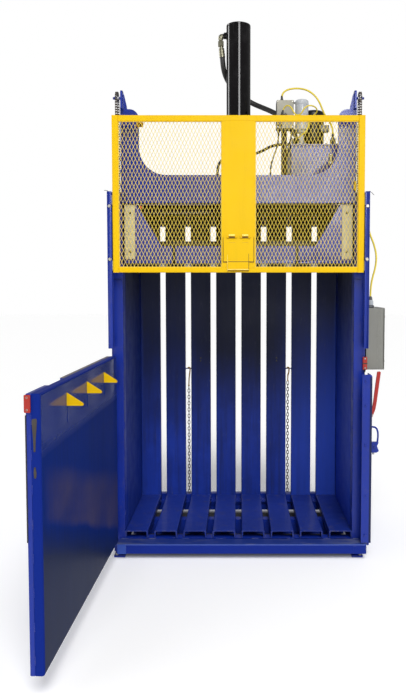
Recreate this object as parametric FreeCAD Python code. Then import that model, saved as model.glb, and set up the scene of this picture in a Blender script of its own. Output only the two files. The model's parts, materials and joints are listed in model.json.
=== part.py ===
import FreeCAD, Part
import math
import os

# Vertical cardboard baler with an upper sliding gate, a side-hinged bale door
# and a hydraulic platen.  Millimetres, +Z up, +X to the viewer's right, the
# front faces -Y.  The pieces are laid out from the front plane of the posts
# (Y = 0) and written out with the origin moved to the middle of the chamber.

V = FreeCAD.Vector
os.makedirs("parts", exist_ok=True)

# ---------------------------------------------------------------- dimensions
CHAMBER_W = 1524.0          # 60 in between the side walls
CHAMBER_D = 815.0           # front plane of the posts to the back wall
SHIFT_Y = -407.5            # front plane to the middle of the chamber
HALF = CHAMBER_W / 2

# floor and back wall: eight C channels side by side, a strap slot between two
CH_W, CH_D, CH_WEB, CH_FL = 152.0, 50.0, 6.0, 7.0
CH_PITCH = 196.0
FLOOR_Z0, FLOOR_Z1 = 106.0, 156.0
TOP_Z = 2412.0              # top of the posts
SLOT_TOP = 2262.0

# posts
POST_OUT = 838.0
POST_Y0, POST_Y1 = 10.0, 100.0
REAR_Y0, REAR_Y1 = 781.0, 865.0
WALL = 6.0
COVER_Z0, COVER_Z1 = 38.0, 1838.0
FOOT_T = 12.0

# sill
SILL_X0, SILL_X1, SILL_Y0 = -800.0, 840.0, -108.0
SILL_Z0, SILL_Z1, SILL_T = 38.0, 104.0, 5.0

# head
HEAD_X, HEAD_Z0, HEAD_CUT, HEAD_EAR = 768.0, 2340.0, 2521.0, 2943.0
HEAD_CUT_X, HEAD_CUT_R, EAR_R = 648.0, 178.0, 60.0

# cylinder
CYL_Y = 407.5
CYL_RO, CYL_RI = 84.5, 76.2
CYL_Z0, CYL_Z1 = 2445.0, 3622.0
ROD_R, STROKE = 50.0, 1050.0
PISTON_Z0, PISTON_Z1 = 3500.0, 3590.0
RUN_FIT = 0.06              # radial clearance of a running fit

# platen, raised
PL_X, PL_Y0, PL_Y1, PL_Z0, PL_Z1 = 752.0, 20.0, 795.0, 1948.0, 2338.0

# gate, raised
G_X, G_Z0, G_Z1 = 812.0, 1885.0, 2888.0
G_Y0, G_Y1 = -75.0, -45.0
G_SIDE, G_TOP, G_BOT, G_MID = 40.0, 38.0, 34.0, 108.0
G_TRAVEL = 490.0
MESH_SWD, MESH_LWD, MESH_STRAND, MESH_T = 23.4, 50.8, 3.6, 3.0

# gate chain
CHAIN_X, CHAIN_PITCH, SPR_N = 784.0, 15.875, 14
SPR_R = CHAIN_PITCH / (2 * math.sin(math.pi / SPR_N))
SPR_Y, SPR_Z = 0.0, 3012.0

# door, drawn closed and turned open about its hinge
D_HX, D_HY, D_OPEN = -830.0, -40.0, -91.5
D_U0, D_U1, D_V0, D_V1 = 28.0, 1630.0, -28.0, 36.0
D_Z0, D_Z1, D_SKIN = 110.0, 1342.0, 6.0
DOG_U = (404.0, 819.0, 1216.0)
DOG_PV, DOG_PZ = 18.0, 1268.0

# side latch bar
L_HX, L_HY = 868.0, 30.0

nodes = {}


# ------------------------------------------------------------------- helpers
def box(x0, x1, y0, y1, z0, z1):
    x0, x1 = min(x0, x1), max(x0, x1)
    y0, y1 = min(y0, y1), max(y0, y1)
    z0, z1 = min(z0, z1), max(z0, z1)
    return Part.makeBox(x1 - x0, y1 - y0, z1 - z0, V(x0, y0, z0))


def cyl(r, h, base, axis=(0, 0, 1)):
    return Part.makeCylinder(r, h, V(*base), V(*axis))


def ring(ro, ri, h, base, axis=(0, 0, 1)):
    return cyl(ro, h, base, axis).cut(cyl(ri, h, base, axis))


def fil(shape, r, test):
    edges = [e for e in shape.Edges if test(e)]
    return shape.makeFillet(r, edges) if edges else shape


def vertical(e):
    d = e.BoundBox
    return d.XLength < 1e-6 and d.YLength < 1e-6


def along_x(e):
    d = e.BoundBox
    return d.ZLength < 1e-6 and d.YLength < 1e-6


def along_y(e):
    d = e.BoundBox
    return d.ZLength < 1e-6 and d.XLength < 1e-6


def any_edge(e):
    return True


def soft(shape, r):
    return shape.makeFillet(r, shape.Edges)


def prism(pts, axis, t0, t1):
    """Closed outline of 2-D points, extruded along one row axis."""
    if axis == "x":
        p = [V(t0, a, b) for a, b in pts]
        d = V(t1 - t0, 0, 0)
    elif axis == "y":
        p = [V(a, t0, b) for a, b in pts]
        d = V(0, t1 - t0, 0)
    else:
        p = [V(a, b, t0) for a, b in pts]
        d = V(0, 0, t1 - t0)
    w = Part.makePolygon(p + [p[0]])
    return Part.Face(w).extrude(d)


def tube4(x0, x1, y0, y1, z0, z1, t, along):
    """Rectangular hollow section as four plates welded edge to edge."""
    if along == "z":
        return [box(x0, x1, y0, y0 + t, z0, z1), box(x0, x1, y1 - t, y1, z0, z1),
                box(x0, x0 + t, y0 + t, y1 - t, z0, z1), box(x1 - t, x1, y0 + t, y1 - t, z0, z1)]
    if along == "y":
        return [box(x0, x1, y0, y1, z0, z0 + t), box(x0, x1, y0, y1, z1 - t, z1),
                box(x0, x0 + t, y0, y1, z0 + t, z1 - t), box(x1 - t, x1, y0, y1, z0 + t, z1 - t)]
    return [box(x0, x1, y0, y1, z0, z0 + t), box(x0, x1, y0, y1, z1 - t, z1),
            box(x0, x1, y0, y0 + t, z0 + t, z1 - t), box(x0, x1, y1 - t, y1, z0 + t, z1 - t)]


def tube1(x0, x1, y0, y1, z0, z1, t, along, r=0.0):
    """Rectangular hollow section in one piece, open at both ends."""
    out = box(x0, x1, y0, y1, z0, z1)
    test = {"x": along_x, "y": along_y, "z": vertical}[along]
    if r:
        out = fil(out, r, test)
    if along == "z":
        inn = box(x0 + t, x1 - t, y0 + t, y1 - t, z0, z1)
    elif along == "y":
        inn = box(x0 + t, x1 - t, y0, y1, z0 + t, z1 - t)
    else:
        inn = box(x0, x1, y0 + t, y1 - t, z0 + t, z1 - t)
    return out.cut(inn)


def route(points, r, label):
    """Round tube along straight runs joined by tangent arcs."""
    P = [V(*p) for p in points]
    edges, last, radii = [], P[0], []
    for i in range(1, len(P) - 1):
        a, b = P[i - 1] - P[i], P[i + 1] - P[i]
        la, lb = a.Length, b.Length
        a.normalize()
        b.normalize()
        turn = math.pi - a.getAngle(b)
        t = 0.45 * min(la, lb)
        rad = t / math.tan(turn / 2)
        radii.append(rad)
        s, e = P[i] + a * t, P[i] + b * t
        bis = a + b
        bis.normalize()
        c = P[i] + bis * (rad / math.cos(turn / 2))
        m = c + (P[i] - c).normalize() * rad
        edges.append(Part.LineSegment(last, s).toShape())
        edges.append(Part.Arc(s, m, e).toShape())
        last = e
    edges.append(Part.LineSegment(last, P[-1]).toShape())
    wire = Part.Wire(edges)
    d = P[1] - P[0]
    d.normalize()
    prof = Part.Wire([Part.makeCircle(r, P[0], d)])
    solid = wire.makePipeShell([prof], True, False, 2)
    length = sum(e.Length for e in edges)
    want = math.pi * r * r * length
    print("cord %-16s length %7.1f mm  min radius %6.1f (%.1f dia)  volume ratio %.4f  runs %s" % (
        label, length, min(radii), min(radii) / (2 * r), solid.Volume / want,
        [int((P[i + 1] - P[i]).Length) for i in range(len(P) - 1)]))
    return solid


def put(name, shapes):
    if not isinstance(shapes, (list, tuple)):
        shapes = [shapes]
    flat = []
    for s in shapes:
        flat.extend(s.Solids)
    nodes.setdefault(name, []).extend(flat)


def mirror_x(s):
    return s.mirror(V(0, 0, 0), V(1, 0, 0))


def both(shapes):
    out = []
    for s in shapes:
        out += [s, mirror_x(s)]
    return out


# ---------------------------------------------------------------- base frame
base = []
base += tube4(-HALF, HALF, 377.5, 437.5, 0, FLOOR_Z0, 5, "x")          # middle bearer, stands on the floor
base += tube4(-HALF, HALF, 10, 70, 38, FLOOR_Z0, 5, "x")               # front bearer
base += tube4(-HALF, HALF, 805, REAR_Y1, 38, FLOOR_Z0, 5, "x")         # rear bearer
base += both(tube4(HALF, POST_OUT, POST_Y1, REAR_Y0, 38, FLOOR_Z0, 5, "y"))
for sx in (-1, 1):
    for y0, y1 in ((-66, 114), (745, 881)):
        base.append(fil(box(sx * 752, sx * 826, y0, y1, 0, FOOT_T), 3, vertical))
put("base_frame", base)

# front sill: hollow section with closed ends
sill = tube4(SILL_X0, SILL_X1, SILL_Y0, 0, SILL_Z0, SILL_Z1, SILL_T, "x")
caps = []
for x0, x1 in ((SILL_X0, SILL_X0 + 4), (SILL_X1 - 4, SILL_X1)):
    caps.append(box(x0, x1, SILL_Y0 + SILL_T, -SILL_T, SILL_Z0 + SILL_T, SILL_Z1 - SILL_T))
put("sill", sill + caps)


# channels: floor channels have their web on top, back channels face the chamber
floor_ch, back_ch = [], []
for i in range(8):
    cx = (i - 3.5) * CH_PITCH
    a, b = cx - CH_W / 2, cx + CH_W / 2
    zt, zw, yf, yw = FLOOR_Z1, FLOOR_Z1 - CH_WEB, CHAMBER_D, CHAMBER_D + CH_WEB
    floor_ch += [box(a, b, 4, CHAMBER_D, zw, zt), box(a, a + CH_FL, 4, CHAMBER_D, FLOOR_Z0, zw),
                 box(b - CH_FL, b, 4, CHAMBER_D, FLOOR_Z0, zw)]
    back_ch += [box(a, b, yf, yw, FLOOR_Z0, TOP_Z), box(a, a + CH_FL, yw, yf + CH_D, FLOOR_Z0, TOP_Z),
                box(b - CH_FL, b, yw, yf + CH_D, FLOOR_Z0, TOP_Z)]
put("floor_channels", floor_ch)
put("back_channels", back_ch)

# rear frame: posts and the two rails that join the back channels
rear = both(tube4(HALF, POST_OUT, REAR_Y0, REAR_Y1, FOOT_T, TOP_Z, WALL, "z"))
rear += tube4(-POST_OUT, POST_OUT, REAR_Y1, 925, SLOT_TOP, TOP_Z, 6, "x")
rear += tube4(-POST_OUT, POST_OUT, REAR_Y1, 915, 38, 152, 6, "x")
put("rear_frame", rear)

# side walls with outside stiffeners and a top rail
wall = [box(HALF, HALF + WALL, POST_Y1, REAR_Y0, FLOOR_Z0, 2342)]
for y0 in (270, 540):
    wall += [box(768, 828, y0, y0 + 5, FLOOR_Z0, 2342), box(768, 828, y0 + 65, y0 + 70, FLOOR_Z0, 2342),
             box(823, 828, y0 + 5, y0 + 65, FLOOR_Z0, 2342)]
wall += tube4(HALF, POST_OUT, POST_Y1, REAR_Y0, 2342, TOP_Z, 5, "y")
put("side_walls", both(wall))

# front posts: hollow, with a thicker face plate up to the feed opening
post = tube4(HALF, POST_OUT, POST_Y0, POST_Y1, FOOT_T, TOP_Z, WALL, "z")
face = fil(box(HALF, POST_OUT, 0, POST_Y0, COVER_Z0, COVER_Z1), 2.5,
           lambda e: vertical(e) and abs(e.BoundBox.YMin) < 1e-6)
put("front_posts", both(post + [face]))

# ----------------------------------------------------------------------- head
# front plate with a U-shaped cut-out and rounded ears
w = []
L = Part.LineSegment


def arc3(c, r, a0, a1):
    f = lambda a: V(c[0] + r * math.cos(math.radians(a)), 0, c[1] + r * math.sin(math.radians(a)))
    return Part.Arc(f(a0), f((a0 + a1) / 2), f(a1)).toShape()


def head_outline():
    X, C, R, E = HEAD_X, HEAD_CUT_X, HEAD_CUT_R, EAR_R
    e = [L(V(-X, 0, HEAD_Z0), V(X, 0, HEAD_Z0)).toShape(),
         L(V(X, 0, HEAD_Z0), V(X, 0, HEAD_EAR)).toShape(),
         L(V(X, 0, HEAD_EAR), V(C + E, 0, HEAD_EAR)).toShape(),
         arc3((C + E, HEAD_EAR - E), E, 90, 180),
         L(V(C, 0, HEAD_EAR - E), V(C, 0, HEAD_CUT + R)).toShape(),
         arc3((C - R, HEAD_CUT + R), R, 0, -90),
         L(V(C - R, 0, HEAD_CUT), V(-C + R, 0, HEAD_CUT)).toShape(),
         arc3((-C + R, HEAD_CUT + R), R, -90, -180),
         L(V(-C, 0, HEAD_CUT + R), V(-C, 0, HEAD_EAR - E)).toShape(),
         arc3((-C - E, HEAD_EAR - E), E, 0, 90),
         L(V(-C - E, 0, HEAD_EAR), V(-X, 0, HEAD_EAR)).toShape(),
         L(V(-X, 0, HEAD_EAR), V(-X, 0, HEAD_Z0)).toShape()]
    return Part.Wire(e)


hp = Part.Face(head_outline()).extrude(V(0, 12, 0))
hp.translate(V(0, -2, 0))
put("head_front_plate", hp)

# beams that carry the cylinder, the rear plate and the deck of the power unit
hb = []
hb += tube4(-HALF, HALF, POST_Y0, POST_Y1, 2342, TOP_Z, 6, "x")
hb += tube4(-HALF, HALF, 725, CHAMBER_D, 2342, TOP_Z, 6, "x")
hb += [prism([(-768, TOP_Z), (768, TOP_Z), (768, 2500), (600, 2640), (-600, 2640), (-768, 2500)], "y",
             CHAMBER_D, CHAMBER_D + 12)]
hb += both(tube4(140, 200, POST_Y0, CHAMBER_D, TOP_Z, 2475, 6, "y"))
hb += tube4(640, 700, POST_Y0, CHAMBER_D, TOP_Z, 2475, 5, "y")
mount = box(-200, 200, 230, 585, 2475, 2500).cut(cyl(88, 25, (0, CYL_Y, 2475)))
hb += [mount, box(205, 720, 150, 800, 2475, 2483)]
put("head_beams", hb)

# ------------------------------------------------------------------- cylinder
barrel = cyl(CYL_RO, CYL_Z1 - CYL_Z0, (0, CYL_Y, CYL_Z0))
barrel = barrel.fuse(cyl(122, 28, (0, CYL_Y, 2500)))
barrel = barrel.fuse(cyl(21, 24, (-78, CYL_Y, 3552), (-1, 0, 0)))
barrel = barrel.fuse(cyl(17, 24, (-78, CYL_Y, 2548), (-1, 0, 0)))
barrel = barrel.cut(cyl(CYL_RI, 3600 - CYL_Z0, (0, CYL_Y, CYL_Z0)))
barrel = barrel.cut(ring(CYL_RO + 5, CYL_RO - 2.5, 5, (0, CYL_Y, 3604)))
barrel = fil(barrel, 4, lambda e: abs(e.BoundBox.ZMin - CYL_Z1) < 1e-6 and abs(e.BoundBox.ZMax - CYL_Z1) < 1e-6)
put("cylinder_barrel", barrel)
gland = ring(CYL_RO, ROD_R + RUN_FIT, 45, (0, CYL_Y, CYL_Z0 - 45))
put("cylinder_gland", gland)
put("piston_rod", [cyl(CYL_RI - RUN_FIT, PISTON_Z1 - PISTON_Z0, (0, CYL_Y, PISTON_Z0)),
                   cyl(ROD_R, PISTON_Z0 - (PL_Z0 + 18), (0, CYL_Y, PL_Z0 + 18))])

# --------------------------------------------------------------------- platen
# the bottom plate and the front plate have slots that pass over the door's dogs
edges_x = [-PL_X]
for u in DOG_U:
    edges_x += [D_HX + u - 10, D_HX + u + 10]
edges_x.append(PL_X)
pf = [box(-PL_X, PL_X, PL_Y0 + 68, PL_Y1, PL_Z0, PL_Z0 + 18)]
for k in range(0, len(edges_x), 2):
    x0, x1 = edges_x[k], edges_x[k + 1]
    pf.append(box(x0, x1, PL_Y0, PL_Y0 + 68, PL_Z0, PL_Z0 + 18))
    pf.append(box(max(x0, -508), min(x1, 508), PL_Y0, PL_Y0 + 12, PL_Z0 + 18, 2060))
pf += both([prism([(508, PL_Z0 + 18), (PL_X, PL_Z0 + 18), (PL_X, PL_Z1), (672, PL_Z1), (508, 2060)], "y",
                  PL_Y0, PL_Y0 + 12),
            prism([(622, PL_Z0 + 18), (PL_X, PL_Z0 + 18), (PL_X, PL_Z1), (700, PL_Z1), (622, 2142)], "y",
                  PL_Y1 - 12, PL_Y1),
            box(PL_X - 10, PL_X, PL_Y0 + 12, PL_Y1 - 12, PL_Z0 + 18, PL_Z1)])
pf += [box(-622, 622, PL_Y1 - 12, PL_Y1, PL_Z0 + 18, 2142)]
for x0 in (-300, -100, 88, 288):
    pf += [box(x0, x0 + 12, 110, PL_Y1 - 12, PL_Z0 + 18, 2080)]
pf += [box(-88, 88, 300, 312, PL_Z0 + 18, 2080), box(-88, 88, 503, 515, PL_Z0 + 18, 2080)]
put("platen_frame", pf + [ring(84, ROD_R, 130, (0, CYL_Y, PL_Z0 + 18))])
ws = [fil(box(sx * 680, sx * 748, PL_Y0 - 8, PL_Y0, 1976, 2329), 3, along_y) for sx in (-1, 1)]
put("platen_wear_strips", ws)

# ----------------------------------------------------------------- power unit
TX0, TX1, TY0, TY1, TZ0, TZ1 = 359.0, 676.0, 200.0, 780.0, 2483.0, 2751.0
tank = [box(TX0, TX1, TY0, TY1, TZ0, TZ0 + 4), box(TX0, TX1, TY0, TY0 + 4, TZ0 + 4, TZ1),
        box(TX0, TX1, TY1 - 4, TY1, TZ0 + 4, TZ1), box(TX0, TX0 + 4, TY0 + 4, TY1 - 4, TZ0 + 4, TZ1),
        box(TX1 - 4, TX1, TY0 + 4, TY1 - 4, TZ0 + 4, TZ1)]
lid = box(TX0 - 8, TX1 + 8, TY0 - 8, TY1 + 8, TZ1, TZ1 + 8)
lid = fil(lid, 6, vertical)
MX, MY, MR = 524.0, 345.0, 72.0
FX, FY, FR = 432.0, 240.0, 45.0
put("oil_tank", tank + [lid])
LZ = TZ1 + 8
motor = cyl(MR, 205, (MX, MY, LZ + 12))
motor = motor.fuse(cyl(MR + 14, 12, (MX, MY, LZ)))
motor = motor.fuse(soft(box(560, 626, 285, 340, LZ + 103, LZ + 149), 4))
motor = motor.fuse(fil(cyl(MR + 2, 38, (MX, MY, LZ + 217)), 24,
                       lambda e: abs(e.BoundBox.ZMin - (LZ + 255)) < 1e-6 and e.BoundBox.ZLength < 1e-6))
put("motor", [motor, cyl(62, 150, (MX, MY, LZ - 158)), cyl(18, 60, (MX, MY + 30, LZ - 218))])
filt = cyl(FR, 179, (FX, FY, LZ + 101)).fuse(cyl(34, 16, (FX, FY, LZ + 85))).fuse(cyl(16, 85, (FX, FY, LZ)))
filt = filt.fuse(cyl(38, 12, (FX, FY, LZ)))
filt = filt.fuse(fil(cyl(FR + 1, 26, (FX, FY, LZ + 280)), 9,
                     lambda e: abs(e.BoundBox.ZMin - (LZ + 306)) < 1e-6 and e.BoundBox.ZLength < 1e-6))
put("return_filter", filt)
VX0, VX1, VY0, VY1 = 372.0, 452.0, 400.0, 520.0
vb = soft(box(VX0, VX1, VY0, VY1, LZ, LZ + 78), 3)
sol = [box(VX0 + 8, VX0 + 48, VY1, VY1 + 62, LZ + 22, LZ + 62), box(VX0 + 8, VX0 + 48, VY0 - 58, VY0, LZ + 22, LZ + 62)]
put("valve_block", [vb] + [soft(s, 3) for s in sol])
put("tank_fittings", [soft(box(612, 640, TY0 - 10, TY0, 2627, 2694), 3),
                      cyl(30, 28, (610, 660, LZ)).fuse(cyl(37, 20, (610, 660, LZ + 28)))])
SX0, SX1, SY0, SY1, SZ0, SZ1 = 263.0, 379.0, 262.0, 362.0, 2880.0, 3072.0
sb = soft(box(SX0, SX1, SY0, SY1, SZ0, SZ1), 3)
br = [box(300, 340, SY1, SY1 + 5, 2483, 3050), box(300, 340, SY1 + 5, SY1 + 40, 2483, 2488)]
put("starter_box", [sb] + br)
# the slack cable from the starter box, looped in front of the filter, to the valve's coil
SOLENOID_CABLE = [(303, 240, 2990), (307.8, 237.6, 3005), (316, 232, 3017.5), (329, 223.5, 3023.5), (344, 213.5, 3020), (357, 204.5, 3006),
                  (367, 197, 2987), (376, 189.5, 2966), (389, 180, 2950.5), (406.4, 168.7, 2946.8), (422.5, 158.5, 2955.2),
                  (433, 154, 2974), (446, 151, 2993), (466, 151, 3004.5), (491, 154, 3006.5), (514, 163.5, 3000), (529.5, 179.5, 2989),
                  (532, 201, 2977), (520, 217.5, 2964), (501, 220.5, 2949), (486.5, 211, 2930), (479, 198.5, 2908.5),
                  (474, 187.5, 2884), (466, 178.5, 2860), (453, 171.5, 2838), (435, 169, 2819), (415, 175, 2806), (401, 193, 2799),
                  (394.5, 216, 2797), (394.5, 242, 2798), (397.5, 268, 2800), (400, 294, 2801), (400, 320, 2801)]
BOOT_DIR = (4.8 / 15.93, -2.4 / 15.93, 15.0 / 15.93)
put("cable_fittings", [cyl(11, 22, (300, 312, SZ1)),                        # gland on the starter box
                       cyl(11, 20, (278, 312, SZ0 - 20)), cyl(11, 20, (366, 300, SZ0 - 20)),
                       cyl(10, 14, (222, 300, 2483)), cyl(10, 14, (332, 300, 2483)),
                       soft(box(634, 672, 278, 330, LZ, LZ + 56), 3), cyl(11, 18, (653, 297, LZ + 56)),
                       soft(box(270, 300, 236, SY0, 2896, 2932), 3), cyl(5, 13, (SX1, 275, 3054), (1, 0, 0)),
                       Part.makeCone(12, 7, 60, V(*SOLENOID_CABLE[0]) - V(*BOOT_DIR) * 60, V(*BOOT_DIR)),
                       cyl(9, 22, (400, 320, 2801), (0, 1, 0))])

# ----------------------------------------------------------- hoses and cables
HOSE1 = [(-118, 407.5, 3402), (-118, 407.5, 3362), (-114.8, 425.9, 3269.2), (-86.7, 478.9, 3195.8), (-22, 528.9, 3148.1),
         (38.4, 549.9, 3120.1), (105, 552.6, 3099), (171, 536.9, 3082.7), (246.4, 497.9, 3058.9), (313.8, 462.6, 3007.5),
         (372.1, 452, 2930.7), (392, 452, 2896)]
HOSE2 = [(337, 466, 2812), (287, 466, 2812), (225.6, 479.2, 2799.2), (171, 507.5, 2771.8), (88.2, 532.6, 2748),
         (-1.5, 522, 2736.7), (-78.4, 470.1, 2737.4), (-131.5, 423.9, 2682.9), (-150, 407.5, 2630), (-150, 407.5, 2580)]
put("hose_upper", route(HOSE1, 18, "hose_upper"))
put("hose_lower", route(HOSE2, 10, "hose_lower"))
fit1 = cyl(17.5, 135, (-118, CYL_Y, 3402))
fit1 = fit1.fuse(cyl(20, 30, (-118, CYL_Y, 3402))).fuse(cyl(20, 24, (-118, CYL_Y, 3486)))
fit1 = fit1.fuse(cyl(17.5, 16, (-102, CYL_Y, 3552), (-1, 0, 0))).fuse(Part.makeSphere(17.5, V(-118, CYL_Y, 3552)))
fit1 = fit1.common(box(-150, -102, 350, 460, 3400, 3600))
fit2 = cyl(11, 32, (-150, CYL_Y, 2548)).fuse(cyl(11, 48, (-102, CYL_Y, 2548), (-1, 0, 0)))
fit2 = fit2.fuse(Part.makeSphere(11, V(-150, CYL_Y, 2548)))
elb = V(*HOSE1[-1]) - V(*HOSE1[-2])
elb.normalize()
elb = V(*HOSE1[-1]) + elb * 44
fit3 = cyl(19, elb.z - LZ - 78, (elb.x, elb.y, LZ + 78)).fuse(Part.makeSphere(19, elb))
fit3 = fit3.fuse(Part.makeCylinder(19, 44, elb, V(*HOSE1[-1]) - elb))
fit4 = cyl(12, VX0 - 337, (337, 466, 2812), (1, 0, 0))
put("hose_fittings", [fit1, fit2, fit3, fit4])
LINE_A = [(278, 312, 2860), (278, 312, 2808), (263, 308, 2744), (238, 304, 2684), (223, 301, 2620), (222, 300, 2555), (222, 300, 2497)]
LINE_B = [(366, 300, 2860), (366, 300, 2822), (347, 297, 2776), (337, 293, 2722), (334, 294, 2662), (333, 297, 2604),
          (332, 300, 2550), (332, 300, 2497)]
put("starter_leads", [route(LINE_A, 5, "lead_a"), route(LINE_B, 5, "lead_b")])
MOTOR_CABLE = [(300, 312, 3094), (301, 312, 3116), (311, 309.5, 3135), (331, 305.5, 3149), (360, 300, 3156.5), (399, 293, 3158.5),
               (440, 285.5, 3153), (479, 278.5, 3139), (513, 272.5, 3114), (540, 267.5, 3083), (560, 264, 3047), (575, 261.5, 3008),
               (592, 262, 2970), (617, 268, 2938), (638, 278, 2913), (649, 289, 2884), (653, 297, 2857), (653, 297, 2833)]
put("motor_cable", route(MOTOR_CABLE, 6, "motor_cable"))
put("solenoid_cable", route(SOLENOID_CABLE, 4.5, "solenoid_cable"))

# ---------------------------------------------------------------- control box
BX0, BX1, BY0, BY1, BZ0, BZ1 = 848.0, 966.0, 20.0, 320.0, 1242.0, 1653.0
cb = [box(BX0, BX0 + 3, BY0, BY1, BZ0, BZ1), box(BX0 + 3, BX1, BY0, BY0 + 3, BZ0, BZ1),
      box(BX0 + 3, BX1, BY1 - 3, BY1, BZ0, BZ1), box(BX0 + 3, BX1, BY0 + 3, BY1 - 3, BZ0, BZ0 + 3),
      box(BX0 + 3, BX1, BY0 + 3, BY1 - 3, BZ1 - 3, BZ1)]
put("control_box", cb + [box(POST_OUT, BX0, 30, 90, 1290, 1330), box(POST_OUT, BX0, 30, 90, 1570, 1610),
                    box(828, BX0, 280, 300, 1290, 1330), box(828, BX0, 280, 300, 1570, 1610)])
CBD_HX, CBD_HY = 975.0, 324.0
cd = box(BX1 + 1, BX1 + 4, BY0, BY1 - 4, BZ0, BZ1)
btn = {"start_button": (120, 1560), "stop_button": (215, 1560), "key_switch": (168, 1450)}
for y, z in btn.values():
    cd = cd.cut(cyl(11 + RUN_FIT, 5, (BX1, y, z), (1, 0, 0)))
lugs = []
for z in (1290, 1590):
    k = cyl(6, 30, (CBD_HX, CBD_HY, z)).fuse(box(BX1 + 1, CBD_HX, BY1 - 10, CBD_HY + 3, z, z + 30))
    k = k.cut(cyl(3 + RUN_FIT, 30, (CBD_HX, CBD_HY, z))).cut(box(BX1 - 5, BX1 + 1, 200, 400, z, z + 30))
    cd = cd.fuse(k)
for z in (1275, 1320, 1575, 1620):
    hgt = 14.5
    h = box(BX1, CBD_HX, BY1, CBD_HY + 3, z, z + hgt).fuse(box(BX0 + 60, CBD_HX, BY1, BY1 + 5, z, z + hgt))
    h = h.fuse(cyl(6, hgt, (CBD_HX, CBD_HY, z)))
    h = h.cut(cyl(3, hgt, (CBD_HX, CBD_HY, z)))
    lugs.append(h)
lugs += [cyl(3, 59.5, (CBD_HX, CBD_HY, 1275)), cyl(3, 59.5, (CBD_HX, CBD_HY, 1575))]
put("control_box_door", cd)
put("control_box", lugs)
for n, (y, z) in btn.items():
    stem = cyl(11, 22, (BX1 - 14, y, z), (1, 0, 0))
    if n == "start_button":
        cap = fil(cyl(15, 9, (BX1 + 9, y, z), (1, 0, 0)), 2, lambda e: e.BoundBox.XMin > BX1 + 17)
        s = stem.fuse(cyl(11, 3, (BX1 + 8, y, z), (1, 0, 0))).fuse(cap)
    elif n == "stop_button":
        cap = fil(cyl(21, 14, (BX1 + 12, y, z), (1, 0, 0)), 5, lambda e: e.BoundBox.XMin > BX1 + 25)
        s = stem.fuse(cyl(11, 6, (BX1 + 8, y, z), (1, 0, 0))).fuse(cap)
    else:
        s = stem.fuse(cyl(14, 8, (BX1 + 5, y, z), (1, 0, 0))).fuse(box(BX1 + 13, BX1 + 24, y - 3, y + 3, z - 12, z + 12))
    put(n, s)

# cable gland, a down-turned outlet on the post, and the free cable between
GX, GY = 880.0, 60.0
put("cable_fittings", [cyl(24, 13, (GX, GY, BZ1)).fuse(cyl(19, 40, (GX, GY, BZ1 + 13))).fuse(cyl(13, 24, (GX, GY, BZ1 + 53))),
                    soft(box(POST_OUT, 866, 42, 78, 2296, 2336), 4).fuse(cyl(12, 16, (852, GY, 2284)))])
CONTROL_CABLE = [(852, GY, 2284), (853, 58, 2226), (867, 52, 2150), (897, 45, 2076), (915, 42, 2000), (910, 46, 1922),
                 (890, 54, 1850), (881, 59, 1784), (GX, GY, BZ1 + 77)]
put("control_cable", route(CONTROL_CABLE, 6, "control_cable"))


# ----------------------------------------------------------------------- door
def door_place(shape):
    """From door coordinates (u, v, z) with the hinge axis at the origin."""
    s = shape.copy()
    s.translate(V(D_HX, D_HY, 0))
    s.rotate(V(D_HX, D_HY, 0), V(0, 0, 1), D_OPEN)
    return s


pan = box(D_U0, D_U1, -4, D_V1, D_Z0, D_Z1)
pan = fil(pan, 11, lambda e: (vertical(e) and e.BoundBox.YMin > D_V1 - 1) or
          (along_x(e) and e.BoundBox.YMin > D_V1 - 1))
pan = pan.cut(box(D_U0 + D_SKIN, D_U1 - D_SKIN, -4, D_V1 - D_SKIN, D_Z0 + D_SKIN, D_Z1 - D_SKIN))
for u in DOG_U:
    pan = pan.cut(box(u - 7, u + 7, D_V1 - 12, D_V1 + 1, 1140, 1288))
put("door_skin", door_place(pan))
dp = [fil(box(D_U1 - 70, D_U1, D_V0, -4, D_Z0, D_Z1 - 60), 8, lambda e: vertical(e) and e.BoundBox.YMin < D_V0 + 1)]
dp += [fil(box(1371, D_U1, D_V0, -4, D_Z1 - 60, D_Z1), 8, lambda e: e.BoundBox.YMax < D_V0 + 1)]
dp += [box(D_U0 + 10, 1112, D_V0, -4, D_Z1 - 60, D_Z1)]
dp += [box(D_U0 + 10, 98, D_V0, -4, D_Z0, D_Z1 - 60)]
for z0 in (D_Z0, 470, 850):
    dp += tube4(98, D_U1 - 70, D_V0, -4, z0, z0 + 60, 4, "x")
for u in DOG_U:
    for s in (-1, 1):
        lug = box(u + s * 8, u + s * 14, DOG_PV - 14, 30, DOG_PZ - 16, DOG_PZ + 16)
        lug = lug.cut(cyl(5, 30, (u - 15, DOG_PV, DOG_PZ), (1, 0, 0)))
        dp.append(lug)
    dp.append(cyl(5, 28, (u - 14, DOG_PV, DOG_PZ), (1, 0, 0)))
HINGE_Z = (200.0, 690.0, 1180.0)
for z in HINGE_Z:
    k = cyl(18, 60, (0, 0, z)).fuse(box(0, D_U0 + 4, -12, 12, z, z + 60)).cut(cyl(11 + RUN_FIT, 60, (0, 0, z)))
    k = k.cut(box(D_U0, D_U0 + 6, -12, 12, z, z + 60))
    dp.append(k)
put("door_panel", [door_place(s) for s in dp])

hinge = []
for z in HINGE_Z:
    for zz in (z - 60.4, z + 60.4):
        k = cyl(18, 60, (D_HX, D_HY, zz)).fuse(box(D_HX - 18, D_HX + 18, D_HY, 0, zz, zz + 60))
        hinge.append(k.cut(cyl(11, 60, (D_HX, D_HY, zz))))
    hinge.append(cyl(11, 181, (D_HX, D_HY, z - 60.4)).fuse(cyl(15, 6, (D_HX, D_HY, z + 120.6))))
put("door_hinges", hinge)

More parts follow.
